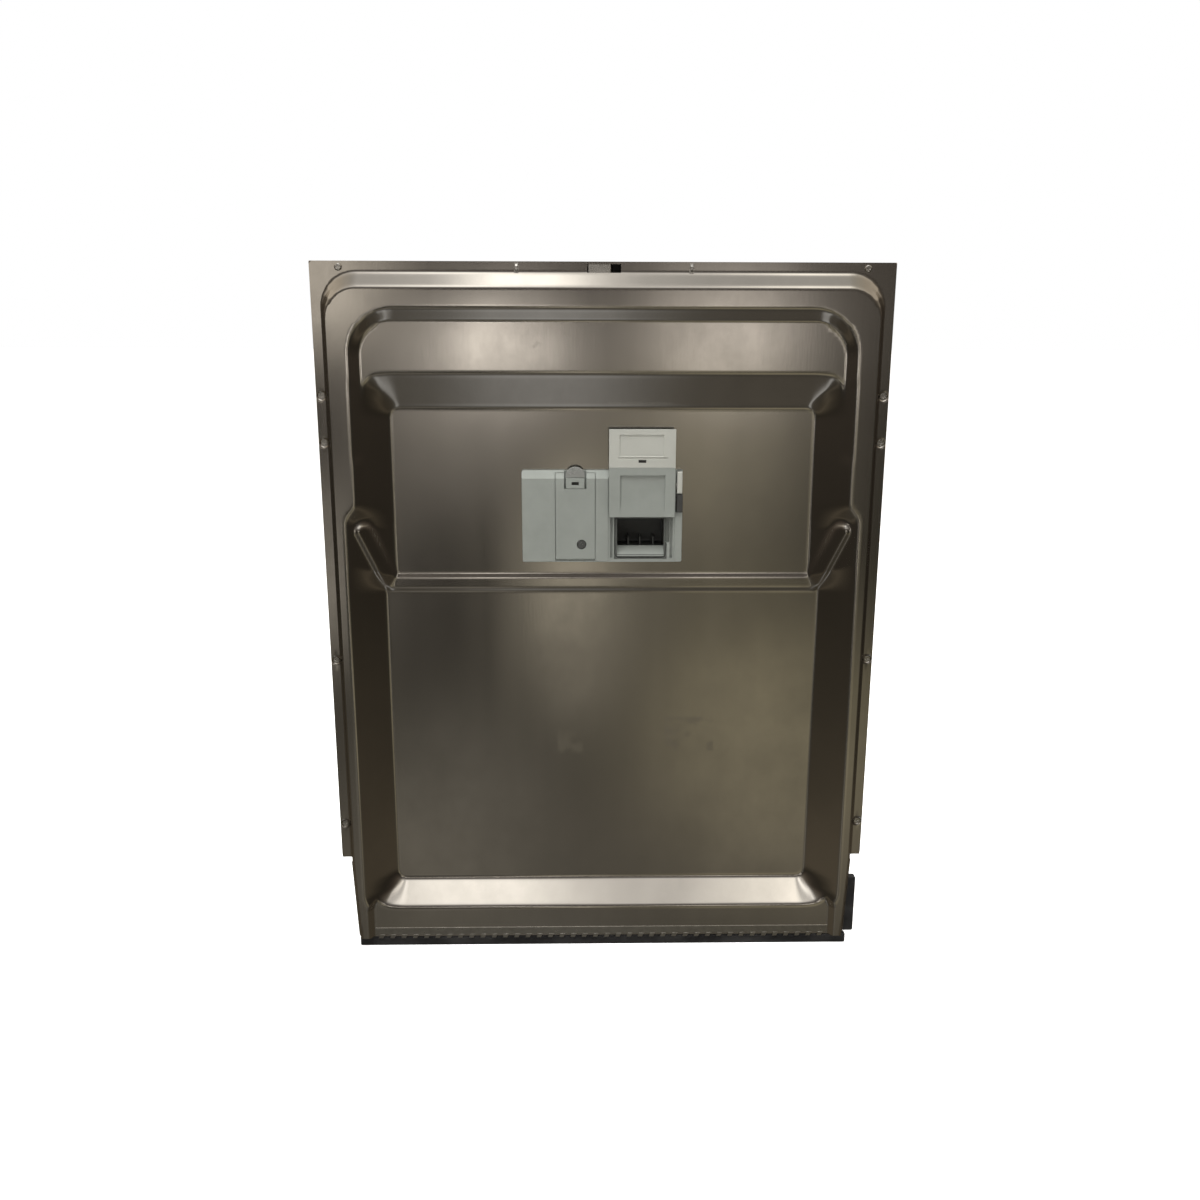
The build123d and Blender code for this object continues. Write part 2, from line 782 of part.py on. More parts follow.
with BuildPart() as dispenser_housing:
    slab(
        dispenser_left,
        dispenser_right,
        dispenser_bottom,
        dispenser_top,
        rim_back,
        dispenser_front,
    )
    fillet(dispenser_housing.edges().filter_by(Axis.Y).group_by(Axis.Z)[0], 2.0)
    fillet(dispenser_housing.edges().filter_by(Axis.Y).group_by(Axis.X)[0].sort_by(Axis.Z)[-1], 2.0)
    front_edges = dispenser_housing.faces().sort_by(Axis.Y)[0].edges()
    fillet(front_edges.group_by(Axis.X)[0] + front_edges.group_by(Axis.Z)[0], 1.2)
    # Sloping top edge
    profile(
        [
            (dispenser_front + 0.01, dispenser_top - bevel_height),
            (dispenser_front + 0.01, dispenser_top + 0.01),
            (dispenser_front - bevel_depth, dispenser_top + 0.01),
        ],
        dispenser_left - 1,
        dispenser_right + 1,
        Mode.SUBTRACT,
    )
    # Cup body behind the front face
    slab(
        cup_left - cup_wall,
        cup_right + cup_wall,
        ledge_high - cup_wall,
        cup_high + cup_wall,
        cup_back - cup_wall,
        rim_back + 1,
    )
    # Track of the sliding cover
    slab(
        cover_left - 0.8,
        release_left,
        dispenser_bottom - 1,
        dispenser_top + 1,
        track_depth,
        dispenser_front + 1,
        mode=Mode.SUBTRACT,
    )
    # Step for the cover release
    slab(
        release_left,
        dispenser_right + 1,
        release_low,
        dispenser_top + 1,
        release_back,
        dispenser_front + 1,
        mode=Mode.SUBTRACT,
    )
    # Pocket of the rinse-aid lid, deeper behind its catch
    slab(
        lid_left,
        lid_right,
        pocket_low,
        dispenser_top + 1,
        pocket_back,
        dispenser_front + 1,
        mode=Mode.SUBTRACT,
    )
    slab(
        lid_middle - tab_width / 2 - tab_slot,
        lid_middle + tab_width / 2 + tab_slot,
        tab_low - 3,
        dispenser_top + 1,
        pocket_back - 2.5,
        pocket_back + 1,
        mode=Mode.SUBTRACT,
    )
    disc(*filler_place, filler_radius + 0.3, rim_back - 1, pocket_back + 1, Mode.SUBTRACT)
    disc(*filler_place, filler_radius + 2.6, pocket_back - 1.2, pocket_back + 1, Mode.SUBTRACT)
    disc(*dial_place, dial_radius + 0.4, pocket_back - 3.2, pocket_back + 1, Mode.SUBTRACT)
    disc(*dial_place, 2.0, pocket_back - 5.5, pocket_back + 1, Mode.SUBTRACT)
    rod_x(
        lid_axis_depth,
        lid_axis_height,
        lid_pin_radius,
        lid_left - 3,
        lid_right + 3,
        Mode.SUBTRACT,
    )
    # Detergent cup with a sloping front ledge and dividing ribs
    with BuildSketch(side_at(cup_right)) as cup_side:
        with BuildLine():
            FilletPolyline(
                (track_depth + 0.01, up(cup_low)),
                (track_depth + 0.01, up(cup_high)),
                (cup_back, up(cup_high)),
                (cup_back, up(ledge_high)),
                (ledge_back, up(ledge_high)),
                radius=[0, 0, 3, 3, 0],
                close=True,
            )
        make_face()
    extrude(amount=cup_width, mode=Mode.SUBTRACT)
    for share in (0.25, 0.5, 0.78):
        rib = cup_left + share * cup_width
        slab(rib - 0.7, rib + 0.7, ledge_high - 1, ledge_high + 9, cup_back - 1, ledge_back - 1)
    # Groove that the cover's seal drops into
    with BuildSketch(face_at(track_depth - 1.2)) as groove:
        with Locations(((cup_left + cup_right) / 2, up((cup_low + cup_high) / 2))):
            RectangleRounded(cup_width + 6, cup_height + 5, 5)
            RectangleRounded(cup_width + 2.4, cup_height + 1.8, 3.5, mode=Mode.SUBTRACT)
    extrude(amount=3, mode=Mode.SUBTRACT)
    # Channels for the cover's rails and its spring
    for rail in rail_places:
        slab(
            rail - rail_width / 2 - rail_gap,
            rail + rail_width / 2 + rail_gap,
            cover_bottom - cover_travel - 0.5,
            dispenser_top + 1,
            track_depth - 2.6,
            track_depth + 1,
            mode=Mode.SUBTRACT,
        )
    slab(
        spring_x - 2.2,
        spring_x + 2.2,
        peg_height - cover_travel - 2.5,
        dispenser_top - 3,
        spring_back,
        track_depth + 1,
        mode=Mode.SUBTRACT,
    )
    # Slot and pin bore of the latch lever, and the seat of the button
    slab(
        lever_left - 0.5,
        arm_right + 0.4,
        lever_axis_height - 7,
        lever_axis_height + 5,
        rim_back - 1,
        release_back + 1,
        mode=Mode.SUBTRACT,
    )
    rod_x(
        lever_axis_depth,
        lever_axis_height,
        lid_pin_radius,
        lever_left - 2.6,
        lever_right - 0.6,
        Mode.SUBTRACT,
    )
    disc(
        dispenser_right - 3.4,
        release_low + button_length / 2,
        1.9,
        rim_back + 0.8,
        release_back + 1,
        Mode.SUBTRACT,
    )
    for x, height in retainer_screw_places:
        disc(x, height, 1.0, rim_back - 1, rim_back + 3.5, Mode.SUBTRACT)
dispenser_housing.part.label = "dispenser_housing"
export_step(dispenser_housing.part, "parts/dispenser_housing.step")

with BuildPart() as dispenser_gasket:
    slab(
        dispenser_left + 0.3,
        dispenser_right - 0.3,
        dispenser_bottom + 0.3,
        dispenser_top - 0.3,
        pan_depth,
        rim_back,
        3.0,
    )
    slab(
        cutout_left,
        cutout_right,
        cutout_bottom,
        cutout_top,
        0,
        rim_back + 1,
        cutout_corner,
        Mode.SUBTRACT,
    )
    for x, height in retainer_screw_places:
        disc(x, height, 1.4, pan_depth - 1, rim_back + 1, Mode.SUBTRACT)
dispenser_gasket.part.label = "dispenser_gasket"
export_step(dispenser_gasket.part, "parts/dispenser_gasket.step")

retainer_back = pan_depth - sheet - 2.0
with BuildPart() as dispenser_retainer:
    slab(
        dispenser_left - 6,
        dispenser_right + 6,
        dispenser_bottom - 6,
        dispenser_top + 6,
        retainer_back,
        pan_depth - sheet - 0.02,
        6.0,
    )
    slab(
        cutout_left,
        cutout_right,
        cutout_bottom,
        cutout_top,
        retainer_back - 1,
        pan_depth,
        cutout_corner,
        Mode.SUBTRACT,
    )
    for x, height in retainer_screw_places:
        disc(x, height, 1.4, retainer_back - 1, pan_depth, Mode.SUBTRACT)
dispenser_retainer.part.label = "dispenser_retainer"
export_step(dispenser_retainer.part, "parts/dispenser_retainer.step")

with BuildPart() as retainer_screws:
    for x, height in retainer_screw_places:
        disc(x, height, 1.0, retainer_back - 0.5, rim_back + 3.2)
        disc(x, height, 2.6, retainer_back - 2.0, retainer_back)
retainer_screws.part.label = "retainer_screws"
export_step(retainer_screws.part, "parts/retainer_screws.step")

# ---- dispenser: rinse-aid side ----------------------------------------------------
tank_right = cup_left - cup_wall - 1.5
tank_front = rim_back - 0.1
tank_back = tank_front - tank_depth
with BuildPart() as rinse_aid_tank:
    slab(body_left, tank_right, body_bottom, body_top, tank_back, tank_front, cutout_corner)
    slab(
        body_left + tank_wall,
        tank_right - tank_wall,
        body_bottom + tank_wall,
        body_top - tank_wall,
        tank_back + tank_wall,
        tank_front - tank_wall,
        cutout_corner - tank_wall,
        Mode.SUBTRACT,
    )
    disc(*filler_place, filler_radius, tank_front - tank_wall, pocket_back - 1.4)
    disc(*filler_place, filler_radius - 1.5, tank_front - tank_wall - 1, pocket_back, Mode.SUBTRACT)
rinse_aid_tank.part.label = "rinse_aid_tank"
export_step(rinse_aid_tank.part, "parts/rinse_aid_tank.step")

with BuildPart() as filler_seal:
    disc(*filler_place, filler_radius + 2.5, pocket_back - 1.15, pocket_back + 0.3)
    disc(*filler_place, filler_radius + 0.3, pocket_back - 2, pocket_back + 1, Mode.SUBTRACT)
filler_seal.part.label = "filler_seal"
export_step(filler_seal.part, "parts/filler_seal.step")

with BuildPart() as dosing_dial:
    disc(*dial_place, dial_radius, pocket_back - 2.8, pocket_back - 1.4)
    disc(*dial_place, 1.95, pocket_back - 5.3, pocket_back - 2)
    dial_x, dial_y = dial_place
    slab(dial_x - 6.5, dial_x + 6.5, dial_y - 1.2, dial_y + 1.2, pocket_back - 2, pocket_back - 0.1)
dosing_dial.part.label = "dosing_dial"
export_step(dosing_dial.part, "parts/dosing_dial.step")

lid_back = dispenser_front - lid_thickness
lid_low_x = lid_left + lid_gap
lid_high_x = lid_right - lid_gap
with BuildPart() as rinse_aid_lid:
    slab(lid_low_x, lid_high_x, lid_axis_height, dispenser_top - 0.3, lid_back, dispenser_front)
    rod_x(lid_axis_depth, lid_axis_height, lid_thickness / 2, lid_low_x, lid_high_x)
    profile(
        [
            (dispenser_front + 0.01, dispenser_top - bevel_height),
            (dispenser_front + 0.01, dispenser_top + 0.01),
            (dispenser_front - bevel_depth, dispenser_top + 0.01),
        ],
        lid_left - 1,
        lid_right + 1,
        Mode.SUBTRACT,
    )
    rod_x(
        lid_axis_depth,
        lid_axis_height,
        lid_pin_radius + running_gap,
        lid_left - 1,
        lid_right + 1,
        Mode.SUBTRACT,
    )
    slab(
        lid_middle - tab_width / 2 - tab_slot,
        lid_middle + tab_width / 2 + tab_slot,
        tab_low,
        dispenser_top + 1,
        lid_back - 1,
        dispenser_front + 1,
        mode=Mode.SUBTRACT,
    )
    disc(
        window_x,
        dispenser_bottom + window_height,
        window_radius + 0.2,
        lid_back - 1,
        dispenser_front + 1,
        Mode.SUBTRACT,
    )
rinse_aid_lid.part.label = "rinse_aid_lid"
export_step(rinse_aid_lid.part, "parts/rinse_aid_lid.step")

with BuildPart() as lid_hinge_pin:
    rod_x(lid_axis_depth, lid_axis_height, lid_pin_radius, lid_left - 2.8, lid_right + 2.8)
lid_hinge_pin.part.label = "lid_hinge_pin"
export_step(lid_hinge_pin.part, "parts/lid_hinge_pin.step")

with BuildPart() as lid_catch_tab:
    slab(
        lid_middle - tab_width / 2,
        lid_middle + tab_width / 2,
        tab_low + 0.4,
        tongue_low,
        lid_back,
        dispenser_front,
    )
    slab(
        lid_middle - 3.7,
        lid_middle + 3.7,
        tab_low + 4,
        tab_low + 7.2,
        dispenser_front - 1.4,
        dispenser_front + 1,
        mode=Mode.SUBTRACT,
    )
lid_catch_tab.part.label = "lid_catch_tab"
export_step(lid_catch_tab.part, "parts/lid_catch_tab.step")

with BuildPart() as catch_tongue:
    with BuildSketch(face_at(lid_back + 0.8)) as tongue:
        with BuildLine():
            Polyline(
                (lid_middle + tab_width / 2 + 0.6, up(tongue_low + 2)),
                (lid_middle + tab_width / 2 + 0.6, up(tongue_low + 0.1)),
                (lid_middle - tab_width / 2 - 0.6, up(tongue_low + 0.1)),
                (lid_middle - tab_width / 2 - 0.6, up(tongue_low + 2)),
            )
            ThreePointArc(
                (lid_middle - tab_width / 2 - 0.6, up(tongue_low + 2)),
                (lid_middle, up(tongue_low + tab_width / 2 + 2)),
                (lid_middle + tab_width / 2 + 0.6, up(tongue_low + 2)),
            )
        make_face()
    extrude(tongue.sketch, amount=2.6)
catch_tongue.part.label = "catch_tongue"
export_step(catch_tongue.part, "parts/catch_tongue.step")

with BuildPart() as indicator_window:
    disc(window_x, dispenser_bottom + window_height, window_radius, lid_back + 0.4, dispenser_front - 0.4)
indicator_window.part.label = "indicator_window"
export_step(indicator_window.part, "parts/indicator_window.step")

# ---- dispenser: detergent cover ---------------------------------------------------
panel_low = cover_top - panel_length
with BuildPart() as detergent_cover:
    slab(cover_left, cover_right, cover_bottom, panel_low, cover_back, cover_front)
    # Thinner upper part, which backs the grip panel
    slab(cover_left, cover_right, panel_low - 1, cover_top, cover_back, cover_back + 1.4)
    # Finger recess with a square upper edge and a sloping lower one
    profile(
        [
            (cover_front + 0.01, cover_bottom + 4.8),
            (cover_front - 1.9, cover_bottom + 11),
            (cover_front - 1.9, panel_low - 8),
            (cover_front + 0.01, panel_low - 8),
        ],
        cover_left + 11.7,
        cover_right - 10.7,
        Mode.SUBTRACT,
    )
    for rail in rail_places:
        slab(
            rail - rail_width / 2,
            rail + rail_width / 2,
            cover_bottom + 1.5,
            dispenser_top - 3,
            track_depth - 2.1,
            cover_back + 0.5,
        )
    disc(spring_x, peg_height, 1.2, spring_back + 1.2, cover_back + 0.5)
detergent_cover.part.label = "detergent_cover"
export_step(detergent_cover.part, "parts/detergent_cover.step")

with BuildPart() as cover_grip_panel:
    slab(cover_left, cover_right, panel_low + 0.1, cover_top, cover_back + 1.45, cover_front + 0.1)
    slab(
        cover_left + 11.3,
        cover_right - 12.5,
        cover_top - 28,
        cover_top - 5.8,
        cover_front - 0.8,
        cover_front + 1,
        1.0,
        Mode.SUBTRACT,
    )
    slab(
        cover_left + 9.3,
        cover_right - 8.2,
        cover_top - 30.4,
        cover_top - 29.2,
        cover_front - 0.6,
        cover_front + 1,
        mode=Mode.SUBTRACT,
    )
    panel_middle = (cover_left + cover_right) / 2
    slab(
        panel_middle - 4,
        panel_middle + 4,
        cover_top - 34.8,
        cover_top - 31.8,
        cover_front - 1.2,
        cover_front + 1,
        mode=Mode.SUBTRACT,
    )
cover_grip_panel.part.label = "cover_grip_panel"
export_step(cover_grip_panel.part, "parts/cover_grip_panel.step")

with BuildPart() as cover_seal:
    slab(
        cup_left - 2.2,
        spring_x - 3.2,
        cover_bottom + 1,
        cover_bottom + cup_height + 3,
        cover_back - 0.9,
        cover_back,
        4.0,
    )
cover_seal.part.label = "cover_seal"
export_step(cover_seal.part, "parts/cover_seal.step")

cover_spring = coil_spring(
    (spring_x, -(spring_back + 2.4), up(peg_height + 1.6)),
    (0, 0, 1),
    dispenser_top - 4 - peg_height - 1.6,
    1.4,
    0.3,
    11,
)
cover_spring.label = "cover_spring"
export_step(cover_spring, "parts/cover_spring.step")

# ---- dispenser: cover release -----------------------------------------------------
button_back = release_back + button_travel + 0.4
button_front = dispenser_front + 2.5
button_x = dispenser_right - 3.4
with BuildPart() as release_button:
    slab(
        dispenser_right - 6.4,
        dispenser_right - 0.2,
        release_low + 0.4,
        release_low + button_length,
        button_back,
        button_front,
    )
    fillet(release_button.faces().sort_by(Axis.Y)[0].edges(), 0.8)
    disc(button_x, release_low + button_length / 2, 1.2, rim_back + 3.6, button_back + 1)
release_button.part.label = "release_button"
export_step(release_button.part, "parts/release_button.step")

button_spring = coil_spring(
    (button_x, -(rim_back + 1.4), up(release_low + button_length / 2)),
    (0, -1, 0),
    1.9,
    1.3,
    0.15,
    3,
)
button_spring.label = "button_spring"
export_step(button_spring, "parts/button_spring.step")

lever_low = release_low + button_length + 1.2
lever_high = lever_low + lever_length
post_back = lever_axis_depth + lever_reach
plunger_x = (lever_left + arm_right) / 2
plunger_depth = lever_axis_depth - lever_arm
fork_low = lever_axis_height - 2.2
fork_high = fork_low + 2.4
with BuildPart() as latch_lever:
    slab(lever_left, lever_right, lever_low, lever_high, post_back, dispenser_front + 2.8)
    fillet(latch_lever.faces().sort_by(Axis.Y)[0].edges(), 0.9)
    slab(lever_left, arm_right, fork_low, fork_low + 4.4, plunger_depth + 3.0, post_back + 0.5)
    rod_x(lever_axis_depth, lever_axis_height, 2.6, lever_left, arm_right)
    rod_z(plunger_x, plunger_depth, 3.4, fork_low, fork_high)
    rod_z(plunger_x, plunger_depth, 1.8, fork_low - 1, fork_high + 3, Mode.SUBTRACT)
    rod_x(
        lever_axis_depth,
        lever_axis_height,
        lid_pin_radius + running_gap,
        lever_left - 1,
        lever_right + 1,
        Mode.SUBTRACT,
    )
latch_lever.part.label = "latch_lever"
export_step(latch_lever.part, "parts/latch_lever.step")

with BuildPart() as lever_pin:
    rod_x(lever_axis_depth, lever_axis_height, lid_pin_radius, lever_left - 2.4, lever_right - 0.8)
lever_pin.part.label = "lever_pin"
export_step(lever_pin.part, "parts/lever_pin.step")

# ---- dispenser: actuator behind the housing ---------------------------------------
coil_high = fork_low - 18.8
coil_low = coil_high - coil_length
frame_half = coil_radius + 1.2
with BuildPart() as actuator_frame:
    frame_left = cup_right + cup_wall + 0.05
    frame_back = plunger_depth - frame_half
    frame_front = plunger_depth + frame_half
    for low, high in ((coil_high + 0.3, coil_high + 1.5), (coil_low - 1.5, coil_low - 0.3)):
        slab(frame_left, plunger_x + frame_half, low, high, frame_back, frame_front)
    slab(frame_left, frame_left + 1.2, coil_low - 1.5, coil_high + 1.5, frame_back, frame_front)
    slab(
        frame_left,
        plunger_x + frame_half,
        coil_low - 1.5,
        coil_high + 1.5,
        frame_back,
        frame_back + 1.0,
    )
    rod_z(plunger_x, plunger_depth, plunger_radius + 0.4, coil_low - 3, coil_high + 3, Mode.SUBTRACT)
actuator_frame.part.label = "actuator_frame"
export_step(actuator_frame.part, "parts/actuator_frame.step")

with BuildPart() as actuator_coil:
    rod_z(plunger_x, plunger_depth, coil_radius - 1.2, coil_low, coil_high)
    rod_z(plunger_x, plunger_depth, coil_radius - 0.1, coil_low, coil_low + 1.6)
    rod_z(plunger_x, plunger_depth, coil_radius - 0.1, coil_high - 1.6, coil_high)
    rod_z(plunger_x, plunger_depth, plunger_radius + 0.4, coil_low - 1, coil_high + 1, Mode.SUBTRACT)
actuator_coil.part.label = "actuator_coil"
export_step(actuator_coil.part, "parts/actuator_coil.step")

collar_low = fork_low - 5
with BuildPart() as actuator_plunger:
    rod_z(plunger_x, plunger_depth, plunger_radius, coil_low + 5, fork_low - 0.6)
    rod_z(plunger_x, plunger_depth, 4.0, collar_low, collar_low + 1.4)
    rod_z(plunger_x, plunger_depth, 1.1, fork_low - 1, fork_high + 1)
    rod_z(plunger_x, plunger_depth, 2.6, fork_high + 0.6, fork_high + 1.8)
actuator_plunger.part.label = "actuator_plunger"
export_step(actuator_plunger.part, "parts/actuator_plunger.step")

plunger_spring = coil_spring(
    (plunger_x, -plunger_depth, up(coil_high + 2.2)),
    (0, 0, 1),
    collar_low - coil_high - 2.9,
    3.1,
    0.35,
    5,
)
plunger_spring.label = "plunger_spring"
export_step(plunger_spring, "parts/plunger_spring.step")

# ---- dispenser: wiring terminals on the back of the tank --------------------------
block_left = body_left + 8
block_right = block_left + 28
block_low = body_bottom + 5
block_high = block_low + 16
block_back = tank_back - 10
with BuildPart() as terminal_block:
    slab(block_left, block_right, block_low, block_high, block_back, tank_back - 0.05)
    slab(
        block_left + 1.5,
        block_right - 1.5,
        block_low + 1.5,
        block_high - 1.5,
        block_back - 1,
        block_back + 8,
        mode=Mode.SUBTRACT,
    )
terminal_block.part.label = "terminal_block"
export_step(terminal_block.part, "parts/terminal_block.step")

with BuildPart() as contact_blades:
    for x in (block_left + 9, block_right - 9):
        slab(x - 0.4, x + 0.4, block_low + 4.8, block_high - 4.8, block_back + 1.5, block_back + 7.95)
contact_blades.part.label = "contact_blades"
export_step(contact_blades.part, "parts/contact_blades.step")

# ---- sound-damping pads on the back of the pan ------------------------------------
pad_front = pan_depth - sheet - 0.05
with BuildPart() as damping_pad_lower:
    slab(-200, 200, pan_bottom_floor + 44, bead_floor_height - 27, pad_front - 3, pad_front, 8.0)
damping_pad_lower.part.label = "damping_pad_lower"
export_step(damping_pad_lower.part, "parts/damping_pad_lower.step")

with BuildPart() as damping_pad_upper:
    slab(-200, 200, dispenser_top + 10.5, pan_top_floor - 9, pad_front - 2, pad_front, 8.0)
damping_pad_upper.part.label = "damping_pad_upper"
export_step(damping_pad_upper.part, "parts/damping_pad_upper.step")
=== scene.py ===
import json
from math import cos, radians, sin

import bmesh
import bpy
import numpy as np
from mathutils import Matrix, Vector


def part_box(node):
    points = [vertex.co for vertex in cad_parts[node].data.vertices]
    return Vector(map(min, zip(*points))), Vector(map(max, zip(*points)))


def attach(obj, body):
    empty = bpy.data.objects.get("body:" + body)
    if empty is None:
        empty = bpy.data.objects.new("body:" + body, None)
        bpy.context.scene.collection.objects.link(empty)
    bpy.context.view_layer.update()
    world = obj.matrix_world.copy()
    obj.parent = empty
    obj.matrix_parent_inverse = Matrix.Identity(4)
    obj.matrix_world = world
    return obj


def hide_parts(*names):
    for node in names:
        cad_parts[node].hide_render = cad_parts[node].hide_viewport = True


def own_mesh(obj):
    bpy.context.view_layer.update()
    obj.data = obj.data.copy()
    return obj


bl_info = {
    "name": "Dishwasher Inner Door",
    "version": (1, 0, 0),
    "blender": (4, 5, 0),
    "location": "View3D > Sidebar > Inner Door",
    "description": "Pressed stainless inner door with its detergent and rinse-aid dispenser",
    "category": "Object",
}

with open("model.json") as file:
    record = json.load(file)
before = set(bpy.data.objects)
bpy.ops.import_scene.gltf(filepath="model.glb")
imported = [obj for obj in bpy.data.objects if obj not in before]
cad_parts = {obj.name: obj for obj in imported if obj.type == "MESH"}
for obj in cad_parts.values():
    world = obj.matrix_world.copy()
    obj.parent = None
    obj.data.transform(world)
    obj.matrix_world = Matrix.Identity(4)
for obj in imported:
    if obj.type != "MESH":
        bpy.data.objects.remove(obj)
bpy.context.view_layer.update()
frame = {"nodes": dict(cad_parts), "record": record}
MM = 0.001
FLOOR_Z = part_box("bottom_seal")[0].z
BODY_OF = {}
for body_name, members in frame["record"]["behaviour"]["bodies"].items():
    for member in members:
        BODY_OF[member] = body_name
SLOT_OF = {entry["node"]: entry["material_slot"] for entry in frame["record"]["subparts"]}


# ---- settings ---------------------------------------------------------------------
class LinerSettings(bpy.types.PropertyGroup):
    steel_color: bpy.props.FloatVectorProperty(
        name="Steel colour", description="Tint of the stainless sheet", subtype="COLOR",
        size=3, min=0, max=1, default=(0.605, 0.570, 0.520),
    )
    steel_roughness: bpy.props.FloatProperty(
        name="Steel roughness", description="How dull the sheet is", default=0.125, min=0, max=1,
    )
    sheet: bpy.props.FloatProperty(
        name="Sheet", description="Thickness of the pressed sheet", default=0.8 * MM, unit="LENGTH",
    )
    floor_blend: bpy.props.FloatProperty(
        name="Floor blend", description="Half-width, in depth, of the round at the pan's floor",
        default=1.5 * MM, unit="LENGTH",
    )
    rim_blend: bpy.props.FloatProperty(
        name="Rim blend", description="Half-width, in depth, of the round at the pan's rim",
        default=1.6 * MM, unit="LENGTH",
    )


class DispenserSettings(bpy.types.PropertyGroup):
    body_color: bpy.props.FloatVectorProperty(
        name="Body colour", description="Grey of the housing, lid and cover", subtype="COLOR",
        size=3, min=0, max=1, default=(0.235, 0.252, 0.232),
    )
    panel_color: bpy.props.FloatVectorProperty(
        name="Panel colour", description="Off-white of the grip panel", subtype="COLOR",
        size=3, min=0, max=1, default=(0.38, 0.385, 0.35),
    )
    edge_round: bpy.props.FloatProperty(
        name="Edge round", description="Radius of the mouldings' edges",
        default=0.45 * MM, unit="LENGTH",
    )


class SealSettings(bpy.types.PropertyGroup):
    rubber_color: bpy.props.FloatVectorProperty(
        name="Rubber colour", description="Black of the seals", subtype="COLOR",
        size=3, min=0, max=1, default=(0.012, 0.012, 0.013),
    )


class StageSettings(bpy.types.PropertyGroup):
    floor_color: bpy.props.FloatVectorProperty(
        name="Floor colour", description="Pale studio floor", subtype="COLOR",
        size=3, min=0, max=1, default=(0.86, 0.86, 0.86),
    )
    top_light: bpy.props.FloatProperty(
        name="Top light", description="Power of the soft light overhead", default=48.0, unit="POWER",
    )


SETTING_GROUPS = {
    "door_liner": LinerSettings,
    "door_dispenser": DispenserSettings,
    "door_seal": SealSettings,
    "door_stage": StageSettings,
}


# ---- node materials ---------------------------------------------------------------
class Surface:
    """A Principled material whose patterns read Object coordinates."""

    def __init__(self, name, color, roughness, metallic=0.0, **sockets):
        self.material = bpy.data.materials.new(name)
        self.material.use_nodes = True
        self.tree = self.material.node_tree
        self.shader = self.tree.nodes["Principled BSDF"]
        self.coordinates = self.tree.nodes.new("ShaderNodeTexCoord")
        self.shader.inputs["Base Color"].default_value = (*color, 1)
        self.shader.inputs["Roughness"].default_value = roughness
        self.shader.inputs["Metallic"].default_value = metallic
        for socket, value in sockets.items():
            self.shader.inputs[socket.replace("_", " ")].default_value = value
        self.bump = None

    def node(self, kind, **values):
        made = self.tree.nodes.new(kind)
        for name, value in values.items():
            setattr(made, name, value)
        return made

    def link(self, source, target):
        self.tree.links.new(source, target)

    def noise(self, scale, stretch=(1, 1, 1), detail=3.0, rough=0.55):
        """Fractal noise over the object, stretched along an axis where its scale is small."""
        place = self.node("ShaderNodeMapping")
        place.inputs["Scale"].default_value = stretch
        self.link(self.coordinates.outputs["Object"], place.inputs["Vector"])
        noise = self.node("ShaderNodeTexNoise")
        noise.inputs["Scale"].default_value = scale
        noise.inputs["Detail"].default_value = detail
        noise.inputs["Roughness"].default_value = rough
        self.link(place.outputs["Vector"], noise.inputs["Vector"])
        return noise.outputs["Fac"]

    def ramp(self, source, *stops):
        """Colour or grey ramp; each stop is (position, colour)."""
        ramp = self.node("ShaderNodeValToRGB")
        elements = ramp.color_ramp.elements
        while len(elements) < len(stops):
            elements.new(0.5)
        for element, (position, color) in zip(elements, stops):
            element.position = position
            element.color = (color, color, color, 1) if isinstance(color, float) else (*color, 1)
        self.link(source, ramp.inputs["Fac"])
        return ramp.outputs["Color"]

    def mix(self, factor, one, other, blend="MIX"):
        mix = self.node("ShaderNodeMix", data_type="RGBA", blend_type=blend)
        for source, socket in ((factor, 0), (one, 6), (other, 7)):
            if isinstance(source, float):
                mix.inputs[socket].default_value = source
            elif isinstance(source, tuple):
                mix.inputs[socket].default_value = (*source, 1)
            else:
                self.link(source, mix.inputs[socket])
        return mix.outputs[2]

    def math(self, operation, one, other):
        made = self.node("ShaderNodeMath", operation=operation)
        for source, socket in ((one, 0), (other, 1)):
            if isinstance(source, float):
                made.inputs[socket].default_value = source
            else:
                self.link(source, made.inputs[socket])
        return made.outputs["Value"]

    def color(self, source):
        self.link(source, self.shader.inputs["Base Color"])

    def inside(self, low, high):
        """1 inside the box between two corners in metres, 0 outside it."""
        middle = tuple((one + other) / 2 for one, other in zip(low, high))
        half = tuple((other - one) / 2 for one, other in zip(low, high))
        shift = self.node("ShaderNodeVectorMath", operation="SUBTRACT")
        self.link(self.coordinates.outputs["Object"], shift.inputs[0])
        shift.inputs[1].default_value = middle
        scale = self.node("ShaderNodeVectorMath", operation="DIVIDE")
        self.link(shift.outputs["Vector"], scale.inputs[0])
        scale.inputs[1].default_value = half
        size = self.node("ShaderNodeVectorMath", operation="ABSOLUTE")
        self.link(scale.outputs["Vector"], size.inputs[0])
        parts = self.node("ShaderNodeSeparateXYZ")
        self.link(size.outputs["Vector"], parts.inputs["Vector"])
        widest = self.math("MAXIMUM", parts.outputs["X"], parts.outputs["Y"])
        return self.math("LESS_THAN", self.math("MAXIMUM", widest, parts.outputs["Z"]), 1.0)

    def roughness(self, source):
        self.link(source, self.shader.inputs["Roughness"])

    def rough_height(self, source, distance, strength=1.0):
        """Adds a layer of bump of a real height in metres."""
        bump = self.node("ShaderNodeBump")
        bump.inputs["Distance"].default_value = distance
        bump.inputs["Strength"].default_value = strength
        self.link(source, bump.inputs["Height"])
        if self.bump:
            self.link(self.bump.outputs["Normal"], bump.inputs["Normal"])
        self.bump = bump
        self.link(bump.outputs["Normal"], self.shader.inputs["Normal"])


# Corners of the places where dried water has left stains on the pan
STAINED = (((-0.050, -0.1, 0.170), (-0.022, 0.1, 0.196)), ((0.070, -0.1, 0.172), (0.125, 0.1, 0.212)))


